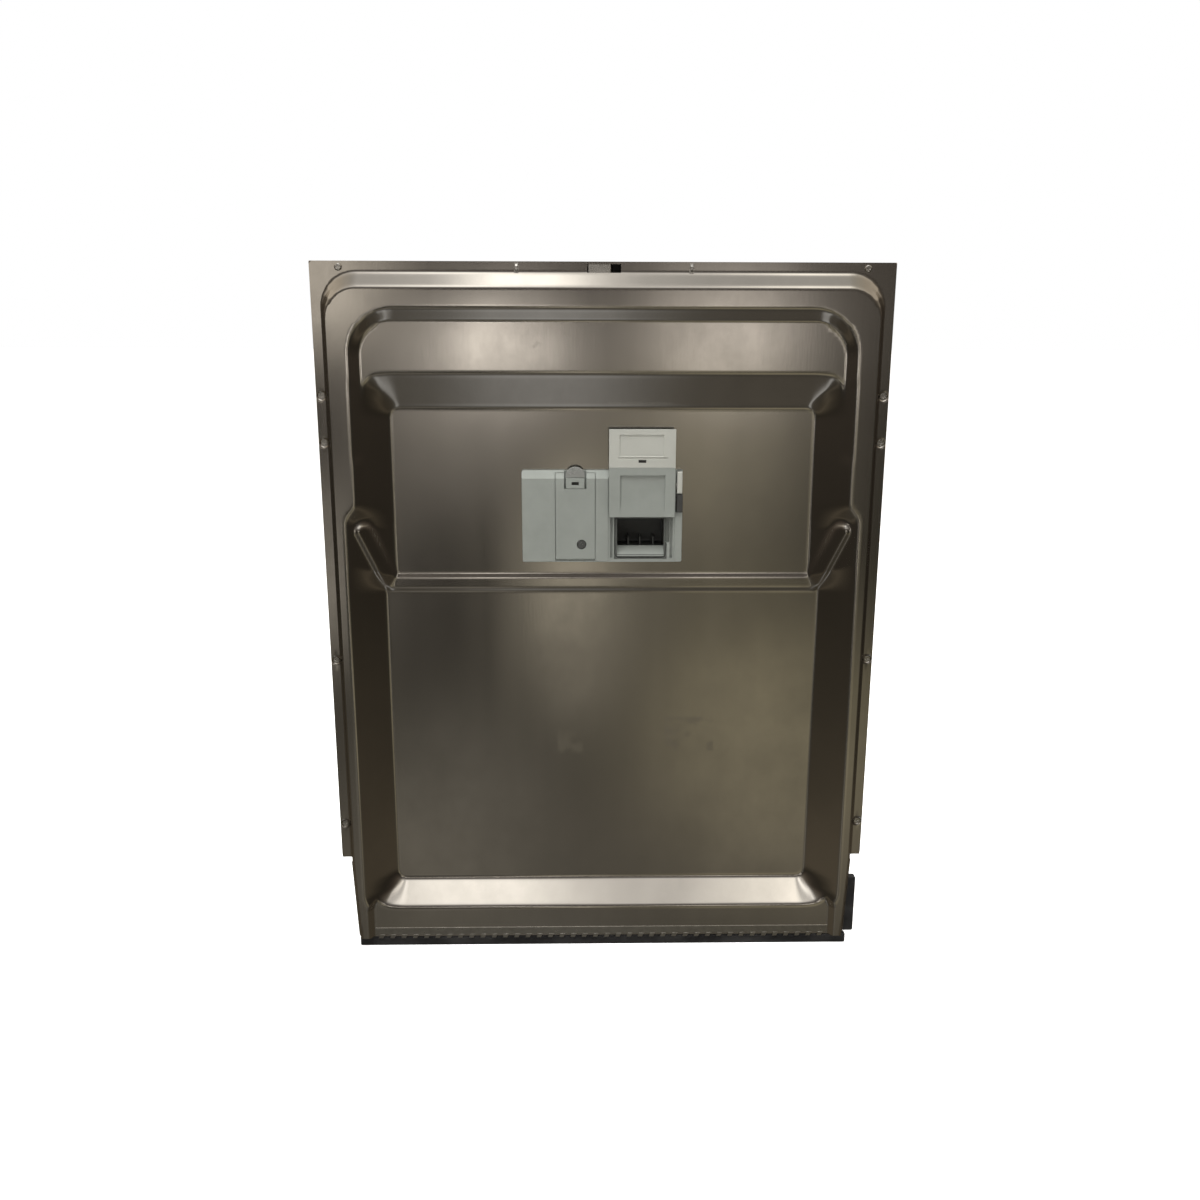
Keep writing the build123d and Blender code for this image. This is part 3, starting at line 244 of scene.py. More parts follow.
def stainless_sheet(color, roughness):
    """Bright-annealed stainless: soft upright streaks, water marks and slow waves of the sheet."""
    steel = Surface("stainless_sheet", color, roughness, 1.0)
    streaks = steel.noise(26, (1, 1, 0.06), 4)
    marks = steel.noise(6, (1, 1, 0.8), 7, 0.62)
    dark = tuple(0.88 * part for part in color)
    pale = tuple(min(1.0, 1.06 * part) for part in color)
    shade = steel.mix(steel.ramp(marks, (0.36, 0.0), (0.66, 1.0)), dark, pale)
    lines = steel.ramp(streaks, (0.3, 0.96), (0.7, 1.0))
    steel.color(steel.mix(1.0, shade, lines, "MULTIPLY"))
    dull = steel.ramp(marks, (0.34, roughness + 0.035), (0.60, roughness - 0.01))
    grain = steel.ramp(streaks, (0.25, 0.0), (0.75, 0.025))
    stains = steel.ramp(steel.noise(19, (1, 1, 1), 8, 0.7), (0.66, 0.0), (0.74, 0.05))
    smudges = steel.ramp(steel.noise(34, (1, 1, 1), 5, 0.6), (0.50, 0.0), (0.60, 0.10))
    for low, high in STAINED:
        stains = steel.mix(steel.inside(low, high), stains, smudges)
    steel.roughness(steel.mix(1.0, steel.mix(1.0, dull, stains, "ADD"), grain, "ADD"))
    steel.rough_height(steel.noise(7, (1, 1, 0.6), 1), 0.0011, 0.16)
    steel.rough_height(steel.noise(420, (1, 1, 0.12), 2), 0.00002, 0.3)
    return steel.material


def plain_metal(name, color, roughness, wear=0.08):
    """Plated or polished steel with fine scratches."""
    metal = Surface(name, color, roughness, 1.0)
    cloud = metal.noise(120, (1, 1, 1), 4)
    metal.roughness(metal.ramp(cloud, (0.3, roughness - wear / 2), (0.7, roughness + wear)))
    worn = tuple(0.8 * part for part in color)
    metal.color(metal.mix(metal.ramp(cloud, (0.35, 0.0), (0.75, 1.0)), color, worn))
    metal.rough_height(metal.noise(900, (1, 1, 0.2), 2), 0.00002, 0.5)
    return metal.material


def moulded_plastic(name, color, roughness=0.42, mottle=0.06, darkened=(), **sockets):
    """Injection-moulded plastic with a fine sparked texture and slight staining.

    Each darkened place is (low corner, high corner, share of the colour that is left)."""
    plastic = Surface(name, color, roughness, **sockets)
    cloud = plastic.noise(24, (1, 1, 1), 5, 0.6)
    dark = tuple((1 - mottle) * part for part in color)
    pale = tuple(min(1.0, (1 + mottle) * part) for part in color)
    shade = plastic.mix(plastic.ramp(cloud, (0.35, 0.0), (0.68, 1.0)), dark, pale)
    for low, high, share in darkened:
        deep = tuple(share * part for part in color)
        shade = plastic.mix(plastic.inside(low, high), shade, deep)
    plastic.color(shade)
    wear = plastic.noise(60, (1, 1, 1), 3)
    plastic.roughness(plastic.ramp(wear, (0.3, roughness - 0.05), (0.7, roughness + 0.08)))
    plastic.rough_height(plastic.noise(1500, (1, 1, 1), 2), 0.00003, 0.35)
    return plastic.material


def black_rubber(name, color):
    """Extruded rubber with dust and fine lines along its length."""
    rubber = Surface(name, color, 0.62)
    dust = rubber.noise(40, (0.4, 1, 1), 5)
    rubber.color(rubber.mix(rubber.ramp(dust, (0.45, 0.0), (0.8, 1.0)), color, (0.045, 0.044, 0.042)))
    rubber.roughness(rubber.ramp(dust, (0.3, 0.5), (0.7, 0.75)))
    rubber.rough_height(rubber.noise(600, (0.1, 1, 1), 2), 0.00006, 0.5)
    return rubber.material


def wound_wire(name, color):
    """Coil under varnish: fine rings along its length."""
    coil = Surface(name, color, 0.35)
    rings = coil.node("ShaderNodeTexWave", bands_direction="Z")
    rings.inputs["Scale"].default_value = 320
    coil.link(coil.coordinates.outputs["Object"], rings.inputs["Vector"])
    coil.rough_height(rings.outputs["Fac"], 0.0002)
    coil.color(coil.mix(rings.outputs["Fac"], tuple(0.6 * part for part in color), color))
    return coil.material


def damping_mat(name):
    """Bitumen mat with a quilted press pattern."""
    mat = Surface(name, (0.02, 0.02, 0.02), 0.75)
    cells = mat.node("ShaderNodeTexVoronoi")
    cells.inputs["Scale"].default_value = 90
    mat.link(mat.coordinates.outputs["Object"], cells.inputs["Vector"])
    mat.rough_height(cells.outputs["Distance"], 0.0006, 0.6)
    mat.color(mat.mix(mat.noise(15), (0.015, 0.015, 0.015), (0.04, 0.039, 0.036)))
    return mat.material


FINISHES = {}
# Painted shade in the housing's hollows, darker than the light alone leaves them, in metres:
# low corner, high corner, share of the colour that is left
HOUSING_PAINTED_SHADE = (
    # Front of the detergent cup, and its depth
    ((0.0140, -0.0168, 0.4082), (0.0655, -0.0058, 0.4400), 0.50),
    ((0.0140, -0.0052, 0.4076), (0.0655, 0.0190, 0.4400), 0.16),
    # Groove round the cup
    ((0.0115, -0.0166, 0.3950), (0.0680, -0.0160, 0.4420), 0.35),
    # Channels of the cover's rails
    ((0.0060, -0.0153, 0.3920), (0.0750, -0.0144, 0.4880), 0.30),
    # Slot of the lid's catch
    ((-0.0334, -0.0163, 0.4744), (-0.0258, -0.0150, 0.4778), 0.08),
)
WINDOW_DARK = (((-0.0290, -0.0230, 0.4050), (-0.0170, 0.0, 0.4170), 0.28),)
# Painted shade in the slot of the grip panel, in metres: low corner, high corner, share of the colour
# that is left
PANEL_PAINTED_SHADE = (((0.0364, -0.0198, 0.4984), (0.0449, -0.0185, 0.5016), 0.08),)


def make_finishes(scene):
    """Every finish of the door, by its slot in the record."""
    liner, dispenser, seal = scene.door_liner, scene.door_dispenser, scene.door_seal
    body, panel = tuple(dispenser.body_color), tuple(dispenser.panel_color)
    FINISHES["stainless_liner"] = stainless_sheet(tuple(liner.steel_color), liner.steel_roughness)
    FINISHES["zinc_steel"] = plain_metal("zinc_plate", (0.55, 0.56, 0.57), 0.38)
    FINISHES["strip_steel"] = plain_metal("bright_strip", (0.55, 0.53, 0.49), 0.30)
    FINISHES["screw_steel"] = plain_metal("screw_steel", (0.82, 0.80, 0.76), 0.22)
    FINISHES["spring_steel"] = plain_metal("spring_wire", (0.60, 0.60, 0.60), 0.2)
    FINISHES["contact_brass"] = plain_metal("contact_brass", (0.78, 0.60, 0.30), 0.25)
    FINISHES["coil_copper"] = wound_wire("varnished_coil", (0.40, 0.16, 0.07))
    FINISHES["black_rubber"] = black_rubber("black_rubber", tuple(seal.rubber_color))
    FINISHES["grey_rubber"] = black_rubber("grey_rubber", (0.16, 0.16, 0.155))
    FINISHES["damping_mat"] = damping_mat("bitumen_mat")
    FINISHES["grey_plastic"] = moulded_plastic("grey_moulding", body, darkened=HOUSING_PAINTED_SHADE)
    FINISHES["light_plastic"] = moulded_plastic("pale_moulding", panel, 0.38, 0.04, PANEL_PAINTED_SHADE)
    FINISHES["dark_plastic"] = moulded_plastic("charcoal_moulding", (0.045, 0.045, 0.043), 0.4)
    FINISHES["black_plastic"] = moulded_plastic("black_moulding", (0.014, 0.014, 0.014), 0.45)
    FINISHES["white_plastic"] = moulded_plastic("white_moulding", (0.66, 0.66, 0.63), 0.4, 0.04)
    FINISHES["blue_plastic"] = moulded_plastic("blue_moulding", (0.05, 0.11, 0.28), 0.4)
    FINISHES["clear_plastic"] = moulded_plastic(
        "smoky_moulding", (0.24, 0.245, 0.23), 0.22, 0.05, WINDOW_DARK,
        Transmission_Weight=0.2, IOR=1.46,
    )


# ---- mesh helpers -----------------------------------------------------------------
# Points closer than this, in metres, become one
MERGE_DISTANCE = 2e-6
# Neighbouring triangles within this many degrees of each other become one flat face
FLAT_ANGLE = 0.6
# A flat face keeps its outline whole up to this many corners
MOST_CORNERS = 400


def finish_piece(name, bm, node_names, smooth_angle=40.0):
    """Makes the bmesh an object that stands for its CAD nodes and rides on their body."""
    mesh = bpy.data.meshes.new(name)
    bm.to_mesh(mesh)
    bm.free()
    mesh.shade_smooth()
    mesh.set_sharp_from_angle(angle=radians(smooth_angle))
    piece = bpy.data.objects.new(name, mesh)
    bpy.context.scene.collection.objects.link(piece)
    slot_name = SLOT_OF[node_names[0]]
    mesh.materials.append(FINISHES[slot_name])
    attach(piece, BODY_OF[node_names[0]])
    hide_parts(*node_names)
    return piece


def merged_copy(node_name, most_corners=MOST_CORNERS):
    """A bmesh of a CAD node with its loose triangles merged into flat faces.

    A face with more than most_corners is cut back into triangles."""
    bm = bmesh.new()
    bm.from_mesh(frame["nodes"][node_name].data)
    bmesh.ops.remove_doubles(bm, verts=bm.verts, dist=MERGE_DISTANCE)
    bmesh.ops.dissolve_limit(bm, angle_limit=radians(FLAT_ANGLE), verts=bm.verts, edges=bm.edges)
    bmesh.ops.triangulate(bm, faces=[face for face in bm.faces if len(face.verts) > most_corners])
    return bm


def pressed_spring(name, node_name):
    """A coil spring that its joint presses back from its free end, the one that faces outward."""
    piece = finish_piece(name, merged_copy(node_name), [node_name], 60)
    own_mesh(piece)
    return piece


def rounded_piece(name, node_name, radius, segments=2, angle=35.0, most_corners=MOST_CORNERS):
    """A CAD node's shape with its sharp edges rounded over."""
    piece = finish_piece(name, merged_copy(node_name, most_corners), [node_name], 30)
    if radius:
        bevel = piece.modifiers.new("edge_round", "BEVEL")
        bevel.width = radius
        bevel.segments = segments
        bevel.limit_method = "ANGLE"
        bevel.angle_limit = radians(angle)
        bevel.use_clamp_overlap = True
        level = piece.modifiers.new("level_faces", "WEIGHTED_NORMAL")
        level.keep_sharp = True
    return piece


# ---- the liner's shape, in millimetres --------------------------------------------
# Heights are above the lower edge of the bottom seal, and depths forward of the rear plane.
FLANGE, LAND, BAND, PAN = 20.0, 29.0, 23.0, 5.0
HALF_WIDTH, DOOR_HEIGHT = 295.0, 760.0
NOTCH_HEIGHT, NOTCH_TAPER, NOTCH_HALF = 105.0, 5.0, 284.8
# Half-width, top and top corners' radius of the raised land's crest and of its foot
LAND_CREST, LAND_FOOT = (281, 736, 32), (284, 748, 35)
LAND_BLEND = 2.2
# Outlines, each with the radius of every corner in the same order
PAN_FLOOR = (
    (-236, 76), (236, 76), (236, 420.5), (224, 433.5),
    (224, 615), (-224, 615), (-224, 433.5), (-236, 420.5),
)
PAN_RIM = (
    (-269, 40), (269, 40), (269, 499.2), (258, 512.2),
    (258, 660.3), (-258, 660.3), (-258, 512.2), (-269, 499.2),
)
PAN_FLOOR_RADII = (11, 11, 7, 7, 11, 11, 7, 7)
PAN_RIM_RADII = (26, 26, 7, 7, 26, 26, 7, 7)
BAND_LOW, BAND_LOW_RADII = ((-249.5, 560), (249.5, 560), (249.5, 703), (-249.5, 703)), (1, 1, 34, 34)
BAND_HIGH, BAND_HIGH_RADII = ((-258, 560), (258, 560), (258, 714), (-258, 714)), (1, 1, 45, 45)
BAND_BLEND = 0.9
APRON_LOW = ((-263, -40), (263, -40), (263, 49), (241, 93), (-241, 93), (-263, 49))
APRON_HIGH = ((-266, -40), (266, -40), (266, 49), (244, 93), (-244, 93), (-266, 49))
APRON_RADII = (1,) * 6
APRON_BLEND = 0.7
BEAD_LINE = ((-252.0, 486.0), (-228.0, 427.0), (228.0, 427.0), (252.0, 486.0))
BEAD_HALF, BEAD_FLANK, BEAD_RISE = 10.8, 6.2, 1.0
WING_RISE, WING_START, WING_RUN = 2.6, 226.0, 14.0
SCREW_HEIGHTS = (152.0, 344.0, 579.0, 627.0)
SCREW_HALF = 289.5
COUNTERSINK_DEPTH, COUNTERSINK_RADIUS, COUNTERSINK_FLANK = 1.5, 5.0, 2.4
CUT_X = (-81.5, 79.5)
CUT_HEIGHT = (456.5, 545.0)
SLOT_X = (-17.0, 17.0)
SLOT_HEIGHT = (749.2, 757.6)
BEND_RADIUS = 1.1
# How near to an edge, in metres, counts as on it
ON_EDGE = 1e-5


def rounded_outline(points, radii, steps=7):
    """Closed outline as an array of points, with an arc of its own radius at each corner."""
    outline = []
    count = len(points)
    for index in range(count):
        corner = Vector(points[index])
        back = (Vector(points[index - 1]) - corner).normalized()
        ahead = (Vector(points[(index + 1) % count]) - corner).normalized()
        radius = radii[index]
        half_angle = back.angle(ahead) / 2
        reach = radius / max(1e-6, sin(half_angle) / cos(half_angle)) if radius else 0
        middle = corner + (back + ahead).normalized() * (radius / sin(half_angle))
        start, end = corner + back * reach - middle, corner + ahead * reach - middle
        for step in range(steps + 1):
            share = step / steps
            direction = start.lerp(end, share)
            outline.append(middle + direction.normalized() * radius if radius else corner)
    return np.array([tuple(point) for point in outline])


def distance_outside(places, outline):
    """Signed distance of each place from a closed outline, negative inside it."""
    nearest = np.full(len(places), 1e9)
    inside = np.zeros(len(places), bool)
    for start, end in zip(outline, np.roll(outline, -1, axis=0)):
        run = end - start
        length = float(run @ run)
        if length < 1e-12:
            continue
        share = np.clip(((places - start) @ run) / length, 0, 1)
        gap = places - start - share[:, None] * run
        nearest = np.minimum(nearest, np.einsum("ij,ij->i", gap, gap))
        crosses = (start[1] > places[:, 1]) != (end[1] > places[:, 1])
        rise = run[1] if abs(run[1]) > 1e-12 else 1e-12
        inside ^= crosses & (places[:, 0] < start[0] + (places[:, 1] - start[1]) / rise * run[0])
    return np.where(inside, -1, 1) * np.sqrt(nearest)


def between(places, near, far):
    """Share of the way from one outline to a larger one: 0 on the first, 1 on the second."""
    outside_near = distance_outside(places, near)
    outside_far = distance_outside(places, far)
    return outside_near / np.maximum(0.5, outside_near - outside_far)


def soft_max(one, other, blend):
    """The larger of two depths, with their meeting rounded over the blend."""
    overlap = np.maximum(blend - np.abs(one - other), 0)
    return np.maximum(one, other) + overlap**2 / (4 * blend)


def soft_min(one, other, blend):
    """The smaller of two depths, with their meeting rounded over the blend."""
    return -soft_max(-one, -other, blend)


def path_distance(places, path):
    """Distance of each place from an open line of points."""
    nearest = np.full(len(places), 1e9)
    for start, end in zip(path, path[1:]):
        start, end = np.array(start), np.array(end)
        run = end - start
        share = np.clip(((places - start) @ run) / (run @ run), 0, 1)
        nearest = np.minimum(nearest, np.linalg.norm(places - start - share[:, None] * run, axis=1))
    return nearest


def land_outline(half, top, corner):
    """Outline of the raised land, drawn in to the notches at its lower end."""
    foot = half - NOTCH_TAPER
    points = (
        (-foot, 0), (foot, 0), (half, NOTCH_HEIGHT), (half, top), (-half, top), (-half, NOTCH_HEIGHT),
    )
    return rounded_outline(points, (1, 1, 30, corner, corner, 30))


def pressed_depth(places, floor_blend, rim_blend):
    """Depth of the pressed sheet's front at each (x, height)."""
    # Raised land between its foot on the flange and its crest
    crest_share = 1 - between(places, land_outline(*LAND_CREST), land_outline(*LAND_FOOT))
    land = soft_max(FLANGE + (LAND - FLANGE) * crest_share, np.full(len(places), FLANGE), LAND_BLEND)
    land = soft_min(land, np.full(len(places), LAND), LAND_BLEND)
    # Pan with sloping walls
    pan_share = between(
        places,
        rounded_outline(PAN_FLOOR, PAN_FLOOR_RADII),
        rounded_outline(PAN_RIM, PAN_RIM_RADII),
    )
    pan = soft_max(PAN + (LAND - PAN) * pan_share, np.full(len(places), PAN), floor_blend)
    # Recessed band above the pan
    band_low = rounded_outline(BAND_LOW, BAND_LOW_RADII)
    band_high = rounded_outline(BAND_HIGH, BAND_HIGH_RADII)
    band = BAND + (LAND - BAND) * between(places, band_low, band_high)
    band = soft_max(band, np.full(len(places), BAND), BAND_BLEND)
    # Open recess below the pan
    apron_low = rounded_outline(APRON_LOW, APRON_RADII)
    apron_high = rounded_outline(APRON_HIGH, APRON_RADII)
    apron = BAND + (LAND - BAND) * between(places, apron_low, apron_high)
    apron = soft_max(apron, np.full(len(places), BAND), APRON_BLEND)
    recess = soft_min(soft_min(band, apron, rim_blend), pan, rim_blend)
    depth = soft_min(land, recess, rim_blend)
    # Bead across the pan and up its walls
    flank = np.clip((BEAD_HALF - path_distance(places, BEAD_LINE)) / BEAD_FLANK, 0, 1)
    wing = np.clip((np.abs(places[:, 0]) - WING_START) / WING_RUN, 0, 1)
    rise = BEAD_RISE + WING_RISE * wing
    depth += rise * flank**2 * (3 - 2 * flank)
    # Countersinks of the side screws
    for height in SCREW_HEIGHTS:
        for x in (-SCREW_HALF, SCREW_HALF):
            reach = np.hypot(places[:, 0] - x, places[:, 1] - height)
            cone = np.clip((COUNTERSINK_RADIUS - reach) / COUNTERSINK_FLANK, 0, 1)
            depth -= COUNTERSINK_DEPTH * cone
    return depth


def spaced(*stretches):
    """Line positions: each stretch is (end, step), counted from the first number."""
    lines = [stretches[0]]
    for end, step in stretches[1:]:
        count = max(1, round((end - lines[-1]) / step))
        start = lines[-1]
        lines += [start + (end - start) * index / count for index in range(1, count + 1)]
    return lines


class INNERDOOR_OT_liner(bpy.types.Operator):
    """Press the stainless liner: flange, raised land, band, pan, bead and folded edges"""

    bl_idname = "innerdoor.liner"
    bl_label = "Liner"

    def execute(self, context):
        settings = context.scene.door_liner
        right = spaced(0.0, (17, 8.5), (79.5, 9), (206, 10), (276, 2.1), (286.6, 0.9), (295, 1.2))
        left = spaced(0.0, (17, 8.5), (81.5, 9), (206, 10), (276, 2.1), (286.6, 0.9), (295, 1.2))
        across = [-x for x in reversed(left)] + right[1:]
        upward = spaced(
            12.0, (84, 2.1), (105, 4.2), (146, 6), (158, 1.2), (338, 8), (350, 1.2), (412, 7),
            (456.5, 1.85), (492, 2.2), (545, 5), (573, 5), (585, 1.2), (606, 2.6), (621, 1.9),
            (633, 1.2), (662, 2), (699, 4), (749.2, 1.25), (757.6, 1.2), (760, 1.2),
        )
        bm = bmesh.new()
        bmesh.ops.create_grid(bm, x_segments=len(across) - 1, y_segments=len(upward) - 1, size=1)
        corners = np.array([tuple(vert.co) for vert in bm.verts])
        columns = np.rint((corners[:, 0] + 1) / 2 * (len(across) - 1)).astype(int)
        rows = np.rint((corners[:, 1] + 1) / 2 * (len(upward) - 1)).astype(int)
        places = np.stack([np.array(across)[columns], np.array(upward)[rows]], axis=1)
        depths = pressed_depth(places, settings.floor_blend / MM, settings.rim_blend / MM)
        for vert, (x, height), depth in zip(bm.verts, places, depths):
            vert.co = (x * MM, -depth * MM, height * MM + FLOOR_Z)
        self.cut_openings(bm)
        self.cut_notches(bm)
        self.fold_edges(bm)
        bm.normal_update()
        if sum(face.normal.y * face.calc_area() for face in bm.faces) > 0:
            bmesh.ops.reverse_faces(bm, faces=bm.faces)
        bmesh.ops.solidify(bm, geom=bm.faces, thickness=settings.sheet)
        finish_piece("pressed_liner", bm, ["inner_door_liner"], 50)
        return {"FINISHED"}

    @staticmethod
    def cut_openings(bm):
        """Dispenser opening and strike slot."""
        doomed = []
        for face in bm.faces:
            centre = face.calc_center_median()
            x, height = centre.x / MM, (centre.z - FLOOR_Z) / MM
            for (x_low, x_high), (low, high) in ((CUT_X, CUT_HEIGHT), (SLOT_X, SLOT_HEIGHT)):
                if x_low < x < x_high and low < height < high:
                    doomed.append(face)
        bmesh.ops.delete(bm, geom=doomed, context="FACES")

    @staticmethod
    def cut_notches(bm):
        """Below the notches the sheet ends just outside the land."""
        top = NOTCH_HEIGHT * MM + FLOOR_Z
        outer_part = 0.2
        for side in (-1, 1):
            low = [
                face for face in bm.faces
                if face.calc_center_median().z < top
                and side * face.calc_center_median().x > outer_part
            ]
            around = low + list({edge for face in low for edge in face.edges})
            around += list({vert for face in low for vert in face.verts})
            bmesh.ops.bisect_plane(
                bm, geom=around, plane_co=(side * (NOTCH_HALF * MM), 0, top),
                plane_no=(side * NOTCH_HEIGHT, 0, -NOTCH_TAPER), clear_outer=True, dist=1e-6,
            )

    @staticmethod
    def fold_edges(bm):
        """Folds the flange's outer edges back to the rear plane, with a small bend radius."""
        low = NOTCH_HEIGHT * MM + FLOOR_Z - ON_EDGE
        half, top = HALF_WIDTH * MM - ON_EDGE, DOOR_HEIGHT * MM + FLOOR_Z - ON_EDGE
        outer = [
            edge for edge in bm.edges
            if edge.is_boundary and all(
                vert.co.z > top or (abs(vert.co.x) > half and vert.co.z > low) for vert in edge.verts
            )
        ]
        made = bmesh.ops.extrude_edge_only(bm, edges=outer)["geom"]
        for vert in made:
            if isinstance(vert, bmesh.types.BMVert):
                vert.co.y = 0
        bmesh.ops.bevel(
            bm, geom=[edge for edge in outer if edge.is_valid], offset=BEND_RADIUS * MM, segments=3,
            affect="EDGES", profile=0.5, material=-1, clamp_overlap=True,
        )


class INNERDOOR_OT_seals(bpy.types.Operator):
    """Round the edges of the bottom seal, the side seal and the dispenser's seals"""

    bl_idname = "innerdoor.seals"
    bl_label = "Seals"

    def execute(self, context):
        rounded_piece("bottom_flap", "bottom_seal", 0.9 * MM, 3)
        rounded_piece("side_flap", "seal_end_right", 1.4 * MM, 3)
        rounded_piece("dispenser_gasket_ring", "dispenser_gasket", 0.25 * MM)
        rounded_piece("filler_ring", "filler_seal", 0.2 * MM)
        rounded_piece("cover_lip", "cover_seal", 0.3 * MM)
        return {"FINISHED"}


class INNERDOOR_OT_edge_strip(bpy.types.Operator):
    """Finish the toothed strip and the clamp strip of the bottom seal"""

    bl_idname = "innerdoor.edge_strip"
    bl_label = "Edge Strips"

    def execute(self, context):
        rounded_piece("toothed_strip", "toothed_edge_strip", 0.12 * MM)
        rounded_piece("clamp_strip", "seal_clamp_strip", 0.2 * MM)
        return {"FINISHED"}


class INNERDOOR_OT_brackets(bpy.types.Operator):
    """Finish the hinge brackets, the retainer frame and the rear pads"""

    bl_idname = "innerdoor.brackets"
    bl_label = "Brackets and Pads"

    def execute(self, context):
        for side in ("left", "right"):
            rounded_piece(f"hinge_channel_{side}", f"hinge_bracket_{side}", 0.6 * MM)
        rounded_piece("retainer_frame", "dispenser_retainer", 0.3 * MM)
        rounded_piece("lower_mat", "damping_pad_lower", 0.8 * MM)
        rounded_piece("upper_mat", "damping_pad_upper", 0.6 * MM)
        return {"FINISHED"}


class INNERDOOR_OT_fasteners(bpy.types.Operator):
    """Finish the screws and the console clips"""

    bl_idname = "innerdoor.fasteners"
    bl_label = "Screws and Clips"

    def execute(self, context):
        rounded_piece("flange_screws", "side_screws", 0.15 * MM)
        rounded_piece("corner_pan_screws", "corner_screws", 0.15 * MM)
        rounded_piece("clip_tongues", "console_clips", 0.2 * MM)
        rounded_piece("frame_screws", "retainer_screws", 0.2 * MM)
        return {"FINISHED"}


class INNERDOOR_OT_latch(bpy.types.Operator):
    """Finish the door latch behind the strike slot"""

    bl_idname = "innerdoor.latch"
    bl_label = "Door Latch"

    def execute(self, context):
        rounded_piece("latch_case", "latch_housing", 0.5 * MM)
        rounded_piece("latch_bolt_plate", "latch_bolt", 0.3 * MM)
        rounded_piece("door_switch_case", "door_switch", 0.4 * MM)
        pressed_spring("latch_coil_spring", "latch_spring")
        return {"FINISHED"}


class INNERDOOR_OT_dispenser(bpy.types.Operator):
    """Finish the dispenser's housing, tank and terminals"""

    bl_idname = "innerdoor.dispenser"
    bl_label = "Dispenser Housing"

    def execute(self, context):
        edge = context.scene.door_dispenser.edge_round
        rounded_piece("housing_moulding", "dispenser_housing", edge, most_corners=4)
        rounded_piece("rinse_tank", "rinse_aid_tank", 0.8 * MM)
        rounded_piece("terminal_socket", "terminal_block", 0.4 * MM)
        rounded_piece("terminal_blades", "contact_blades", 0.1 * MM)
        return {"FINISHED"}


class INNERDOOR_OT_rinse_lid(bpy.types.Operator):
    """Finish the rinse-aid lid with its catch, window and dosing dial"""

    bl_idname = "innerdoor.rinse_lid"
    bl_label = "Rinse-Aid Lid"

    def execute(self, context):
        edge = context.scene.door_dispenser.edge_round
        rounded_piece("lid_moulding", "rinse_aid_lid", edge)
        rounded_piece("catch_moulding", "lid_catch_tab", edge)
        rounded_piece("catch_clear_tongue", "catch_tongue", 0.6 * MM, 3)
        rounded_piece("window_disc", "indicator_window", 0.8 * MM, 3)
        rounded_piece("dial_knob", "dosing_dial", 0.3 * MM)
        rounded_piece("lid_pin", "lid_hinge_pin", 0.1 * MM)
        return {"FINISHED"}


class INNERDOOR_OT_cover(bpy.types.Operator):
    """Finish the sliding detergent cover"""

    bl_idname = "innerdoor.cover"
    bl_label = "Detergent Cover"

    def execute(self, context):
        edge = context.scene.door_dispenser.edge_round
        rounded_piece("cover_moulding", "detergent_cover", edge)
        rounded_piece("grip_panel", "cover_grip_panel", 0.35 * MM)
        finish_piece("cover_coil_spring", merged_copy("cover_spring"), ["cover_spring"], 60)
        return {"FINISHED"}


class INNERDOOR_OT_release(bpy.types.Operator):
    """Finish the cover release and its actuator"""

    bl_idname = "innerdoor.release"
    bl_label = "Cover Release"

    def execute(self, context):
        rounded_piece("release_key", "release_button", 0.5 * MM)
        rounded_piece("lever_moulding", "latch_lever", 0.4 * MM)
        rounded_piece("lever_axle", "lever_pin", 0.1 * MM)
        rounded_piece("actuator_yoke", "actuator_frame", 0.2 * MM)
        rounded_piece("actuator_winding", "actuator_coil", 0.3 * MM)
        rounded_piece("actuator_rod", "actuator_plunger", 0.2 * MM)
        pressed_spring("key_coil_spring", "button_spring")
        pressed_spring("rod_coil_spring", "plunger_spring")
        return {"FINISHED"}


# ---- surroundings -----------------------------------------------------------------
# What the steel mirrors, by direction: set step by step, for the front view
# Height of the direction (-1 down, 1 up) and the light there
ROOM_BY_HEIGHT = (
    (-0.95, (0.10, 0.09, 0.075)),
    (-0.58, (0.07, 0.065, 0.055)),
    (-0.45, (0.12, 0.11, 0.092)),
    (-0.37, (0.07, 0.065, 0.055)),
    (-0.22, (0.036, 0.034, 0.030)),
    (-0.06, (0.050, 0.046, 0.042)),
    (0.10, (0.09, 0.08, 0.072)),
    (0.34, (0.20, 0.19, 0.18)),
    (0.48, (0.80, 0.78, 0.75)),
    (0.95, (0.50, 0.49, 0.47)),
)
# Side of the direction (-1 left, 1 right) and the share of that light
ROOM_BY_SIDE = (
    (-0.60, (0.85, 0.78, 0.68)),
    (-0.28, (0.80, 0.78, 0.75)),
    (-0.20, (1.0, 1.0, 1.0)),
    (0.20, (1.0, 1.0, 1.0)),
    (0.28, (0.80, 0.78, 0.72)),
    (0.60, (0.75, 0.68, 0.58)),
)
WARM = (1.0, 0.94, 0.84)
